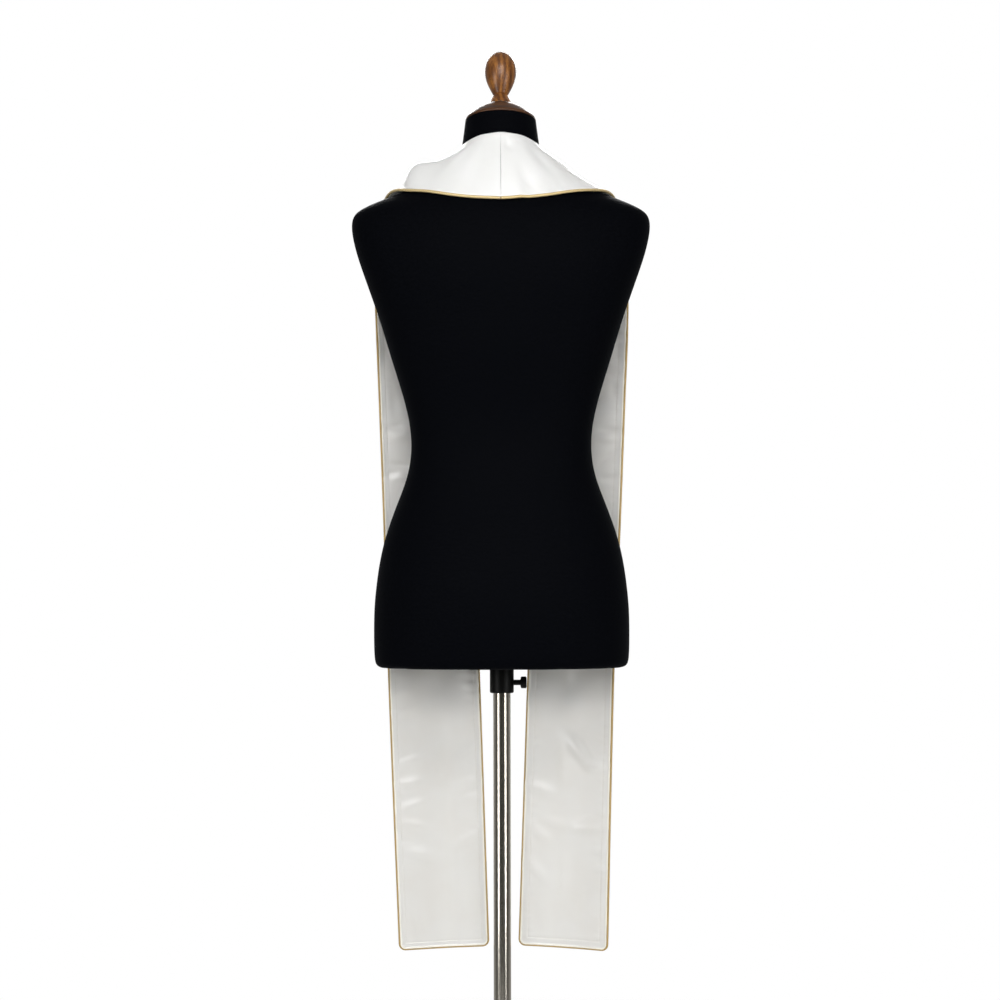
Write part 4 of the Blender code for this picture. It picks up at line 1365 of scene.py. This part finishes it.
    def stitches(self, name: str, line: float) -> Piece:
        """Sew one line of stitches through the lining, along all its free edges.

        Args:
            name: The piece's name.
            line: Its distance from the cut edge.

        Returns:
            The stitches, joined.
        """
        places, normals = self.read(*self.edge_path(line, self.stitch_pitch, 0.5))
        places = places - normals * self.stitch_sink
        ahead = unit(np.gradient(places, axis=0))
        sideways = unit(np.cross(ahead, normals))
        sides = 5
        turns = 2 * np.pi * np.arange(sides) / sides
        half = self.stitch_length / 2
        shift, radius, sunk = np.array([
            (-half, 0.10, 0.25), (-half * 0.6, 0.24, 0.0), (half * 0.6, 0.24, 0.0), (half, 0.10, 0.25)]).T
        out = radius[:, None] * np.cos(turns)
        up = sunk[:, None] + radius[:, None] * np.sin(turns)
        points = places[:, None, None] + ahead[:, None, None] * shift[:, None, None]
        points = points + normals[:, None, None] * up[..., None] + sideways[:, None, None] * out[..., None]
        numbers = np.arange(len(shift) * sides).reshape(-1, sides)
        one = quads(numbers, np.roll(numbers, -1, axis=1)).tolist()
        one += [numbers[0][::-1].tolist(), numbers[-1].tolist()]
        if self.side is Side.RIGHT:
            one = [face[::-1] for face in one]
        firsts = range(0, len(places) * numbers.size, numbers.size)
        faces = [[first + corner for corner in face] for first in firsts for face in one]
        return mesh_object(name, self.to_model(points.reshape(-1, 3)), faces)

    def build(self, satin: bpy.types.Material, lining: bpy.types.Material, gold: bpy.types.Material,
              thread: bpy.types.Material, torso: Piece) -> None:
        """Build and dress the strip, the lining, the cord and the stitches.

        Args:
            satin: Finish of the strip.
            lining: Finish of the lining.
            gold: Finish of the cord.
            thread: Finish of the stitches.
            torso: The form that the cloth rests on; not used.
        """
        side = self.side.value
        seed = 11 if self.side is Side.LEFT else 29
        line = BAND_START + self.stitch_line * self.band
        depth = self.lining_pucker_depth
        outer = [edge_puckers(seed + index, self.length, *self.strip_puckers) for index in (0, 1)]
        inner = [edge_puckers(seed + index, self.length, line, depth) for index in (2, 3)]
        strip = self.layer("satin_strip_" + side, STRIP_EDGE, True, self.strip_cloth,
                           self.strip_columns, outer)
        dress(strip, satin, "form", "stole_strip_" + side)
        back = self.layer("satin_lining_" + side, LINING_EDGE, False, self.lining_cloth,
                          self.lining_columns, inner)
        dress(back, lining, "form", "stole_lining_" + side)
        cord = self.cord("gold_cord_" + side)
        dress(cord, gold, "form", "piping_" + side)
        sewn = self.stitches("lining_stitches_" + side, line)
        dress(sewn, thread, "form", None)


class Softbox(NamedTuple):
    """One area light that looks at the form's axis."""

    name: str
    size: tuple[float, float]  # width and height in metres
    power: float  # in watts
    azimuth: float  # degrees from the camera's side
    elevation: float  # degrees above the point that it looks at
    distance: float  # in metres
    gleam: bool  # it shows in reflections only, and the others on matt surfaces only


@dataclass
class Studio:
    """White backdrop, soft lights all round, a pale floor and the camera of the photograph."""

    camera_place: tuple[float, float, float] = (0.0, -3.3, 0.922)
    lens: float = 90.0
    shift: tuple[float, float] = (-0.0015, 0.0328)
    pitch: float = 91.1
    roll: float = -0.12
    lights_look_at: float = 0.95
    floor_radius: float = 2.4

    def camera(self) -> None:
        """Add the camera at the photograph's angle."""
        data = bpy.data.cameras.new("camera")
        data.lens = self.lens
        data.sensor_width = 36.0
        data.shift_x, data.shift_y = self.shift
        made = bpy.data.objects.new("camera", data)
        made.location = self.camera_place
        turn = Matrix.Rotation(math.radians(self.pitch), 4, "X")
        made.rotation_euler = (turn @ Matrix.Rotation(math.radians(self.roll), 4, "Z")).to_euler()
        bpy.context.scene.collection.objects.link(made)
        bpy.context.scene.camera = made

    def hang(self, box: Softbox) -> None:
        """Add one light, which the camera doesn't see."""
        data = bpy.data.lights.new(box.name, "AREA")
        data.shape = "RECTANGLE"
        data.size, data.size_y = box.size
        data.energy = box.power
        made = bpy.data.objects.new(box.name, data)
        turn = math.radians(box.azimuth)
        rise = math.radians(box.elevation)
        place = Vector((math.sin(turn) * math.cos(rise), -math.cos(turn) * math.cos(rise), math.sin(rise)))
        made.location = place * box.distance + Vector((0.0, 0.0, self.lights_look_at))
        made.rotation_euler = (-place).to_track_quat("-Z", "Y").to_euler()
        made.visible_camera = False
        made.visible_diffuse = not box.gleam
        made.visible_glossy = box.gleam
        bpy.context.scene.collection.objects.link(made)

    def lights(self) -> None:
        """Add soft lights all round and above, and large ones that only reflections show."""
        for sign in (-1.0, 1.0):
            self.hang(Softbox("strip", (0.45, 1.6), 24.0, sign * 47.0, 0.0, 2.4, True))
            self.hang(Softbox("side", (0.7, 0.8), 6.0, sign * 40.0, 8.0, 2.8, False))
            self.hang(Softbox("back", (0.8, 1.2), 13.0, sign * 128.0, 24.0, 2.8, False))
        self.hang(Softbox("front", (1.1, 0.8), 43.0, 0.0, 8.0, 2.8, False))
        self.hang(Softbox("top", (1.7, 0.6), 14.5, 0.0, 31.0, 2.8, False))
        self.hang(Softbox("sheen", (1.7, 0.9), 70.0, 0.0, 31.0, 2.8, True))
        self.hang(Softbox("far sheen", (1.7, 0.9), 60.0, 180.0, 31.0, 2.8, True))

    def world(self) -> None:
        """White to the camera, and a dome that is brighter behind the form than in front of it."""
        world = bpy.data.worlds.new("studio")
        world.use_nodes = True
        bpy.context.scene.world = world
        tree = world.node_tree
        tree.nodes.clear()
        direction = add_node(tree, "ShaderNodeTexCoord").outputs["Generated"]
        parts = add_node(tree, "ShaderNodeSeparateXYZ", {"Vector": direction})
        depth = add_node(tree, "ShaderNodeMapRange", {
            "Value": parts.outputs["Y"], "From Min": -0.95, "From Max": 0.7})
        level = ramp(tree, depth.outputs["Result"], [(0.0, "#3c3c38"), (0.5, "#5c5a57"), (1.0, "#b4b4b2")])
        high = add_node(tree, "ShaderNodeMapRange", {
            "Value": parts.outputs["Z"], "From Min": 0.25, "From Max": 0.95},
            interpolation_type="SMOOTHSTEP")
        shades = add_node(tree, "ShaderNodeMix", {
            0: high.outputs["Result"], 6: level, 7: linear("#b0b0b0")}, data_type="RGBA")
        dome = add_node(tree, "ShaderNodeBackground", {"Color": shades.outputs[2], "Strength": 1.0})
        seen = add_node(tree, "ShaderNodeBackground", {"Color": linear("#ffffff"), "Strength": 1.0})
        looks = add_node(tree, "ShaderNodeLightPath")
        mixed = add_node(tree, "ShaderNodeMixShader", {
            0: looks.outputs["Is Camera Ray"], 1: dome.outputs["Background"], 2: seen.outputs["Background"]})
        add_node(tree, "ShaderNodeOutputWorld", {"Surface": mixed.outputs["Shader"]})

    def floor(self) -> None:
        """Spread the floor under the stand, as a disc of rings."""
        bpy.ops.object.select_all(action="DESELECT")
        bpy.ops.mesh.primitive_circle_add(vertices=96, radius=self.floor_radius, fill_type="NGON",
                                          location=(0.0, 0.0, -0.0002))
        disc = bpy.context.object
        disc.name = "studio_floor"
        bpy.ops.object.mode_set(mode="EDIT")
        bpy.ops.mesh.select_all(action="SELECT")
        bpy.ops.mesh.inset(thickness=self.floor_radius * 0.5)
        bpy.ops.object.mode_set(mode="OBJECT")
        disc.data.materials.append(FloorFinish().build())

    def build(self) -> None:
        """Build the whole studio."""
        bpy.context.scene.view_settings.view_transform = "Standard"
        self.camera()
        self.lights()
        self.world()
        self.floor()


def build_stole(form: DressForm) -> None:
    """Drape, build and dress both halves of the stole."""
    satin = SatinFinish("white_duchess_satin", "#f7f7f6", "#f5f5f3", "#f7f7f6").build()
    lining = SatinFinish("ivory_satin_lining", "#e4e3e0", "#e2e0dc", "#f8f5ea", 0.36).build()
    gold = GoldCordFinish().build()
    thread = ThreadFinish().build()
    surface = form.surface()
    for side, band in ((Side.LEFT, 0.50), (Side.RIGHT, 0.72)):
        half = StoleHalf(side, surface, band=band)
        half.build(satin, lining, gold, thread, form.piece)
        LOG.info("%s half: %.0f mm long", side.value, half.length)


def main() -> None:
    """Build every piece in order, then the studio."""
    logging.basicConfig(level=logging.INFO, format="%(name)s: %(message)s")
    Stand().build()
    Clamp().build()
    NeckTop().build()
    form = DressForm()
    form.build()
    build_stole(form)
    Studio().build()


if __name__ == "__main__":
    main()
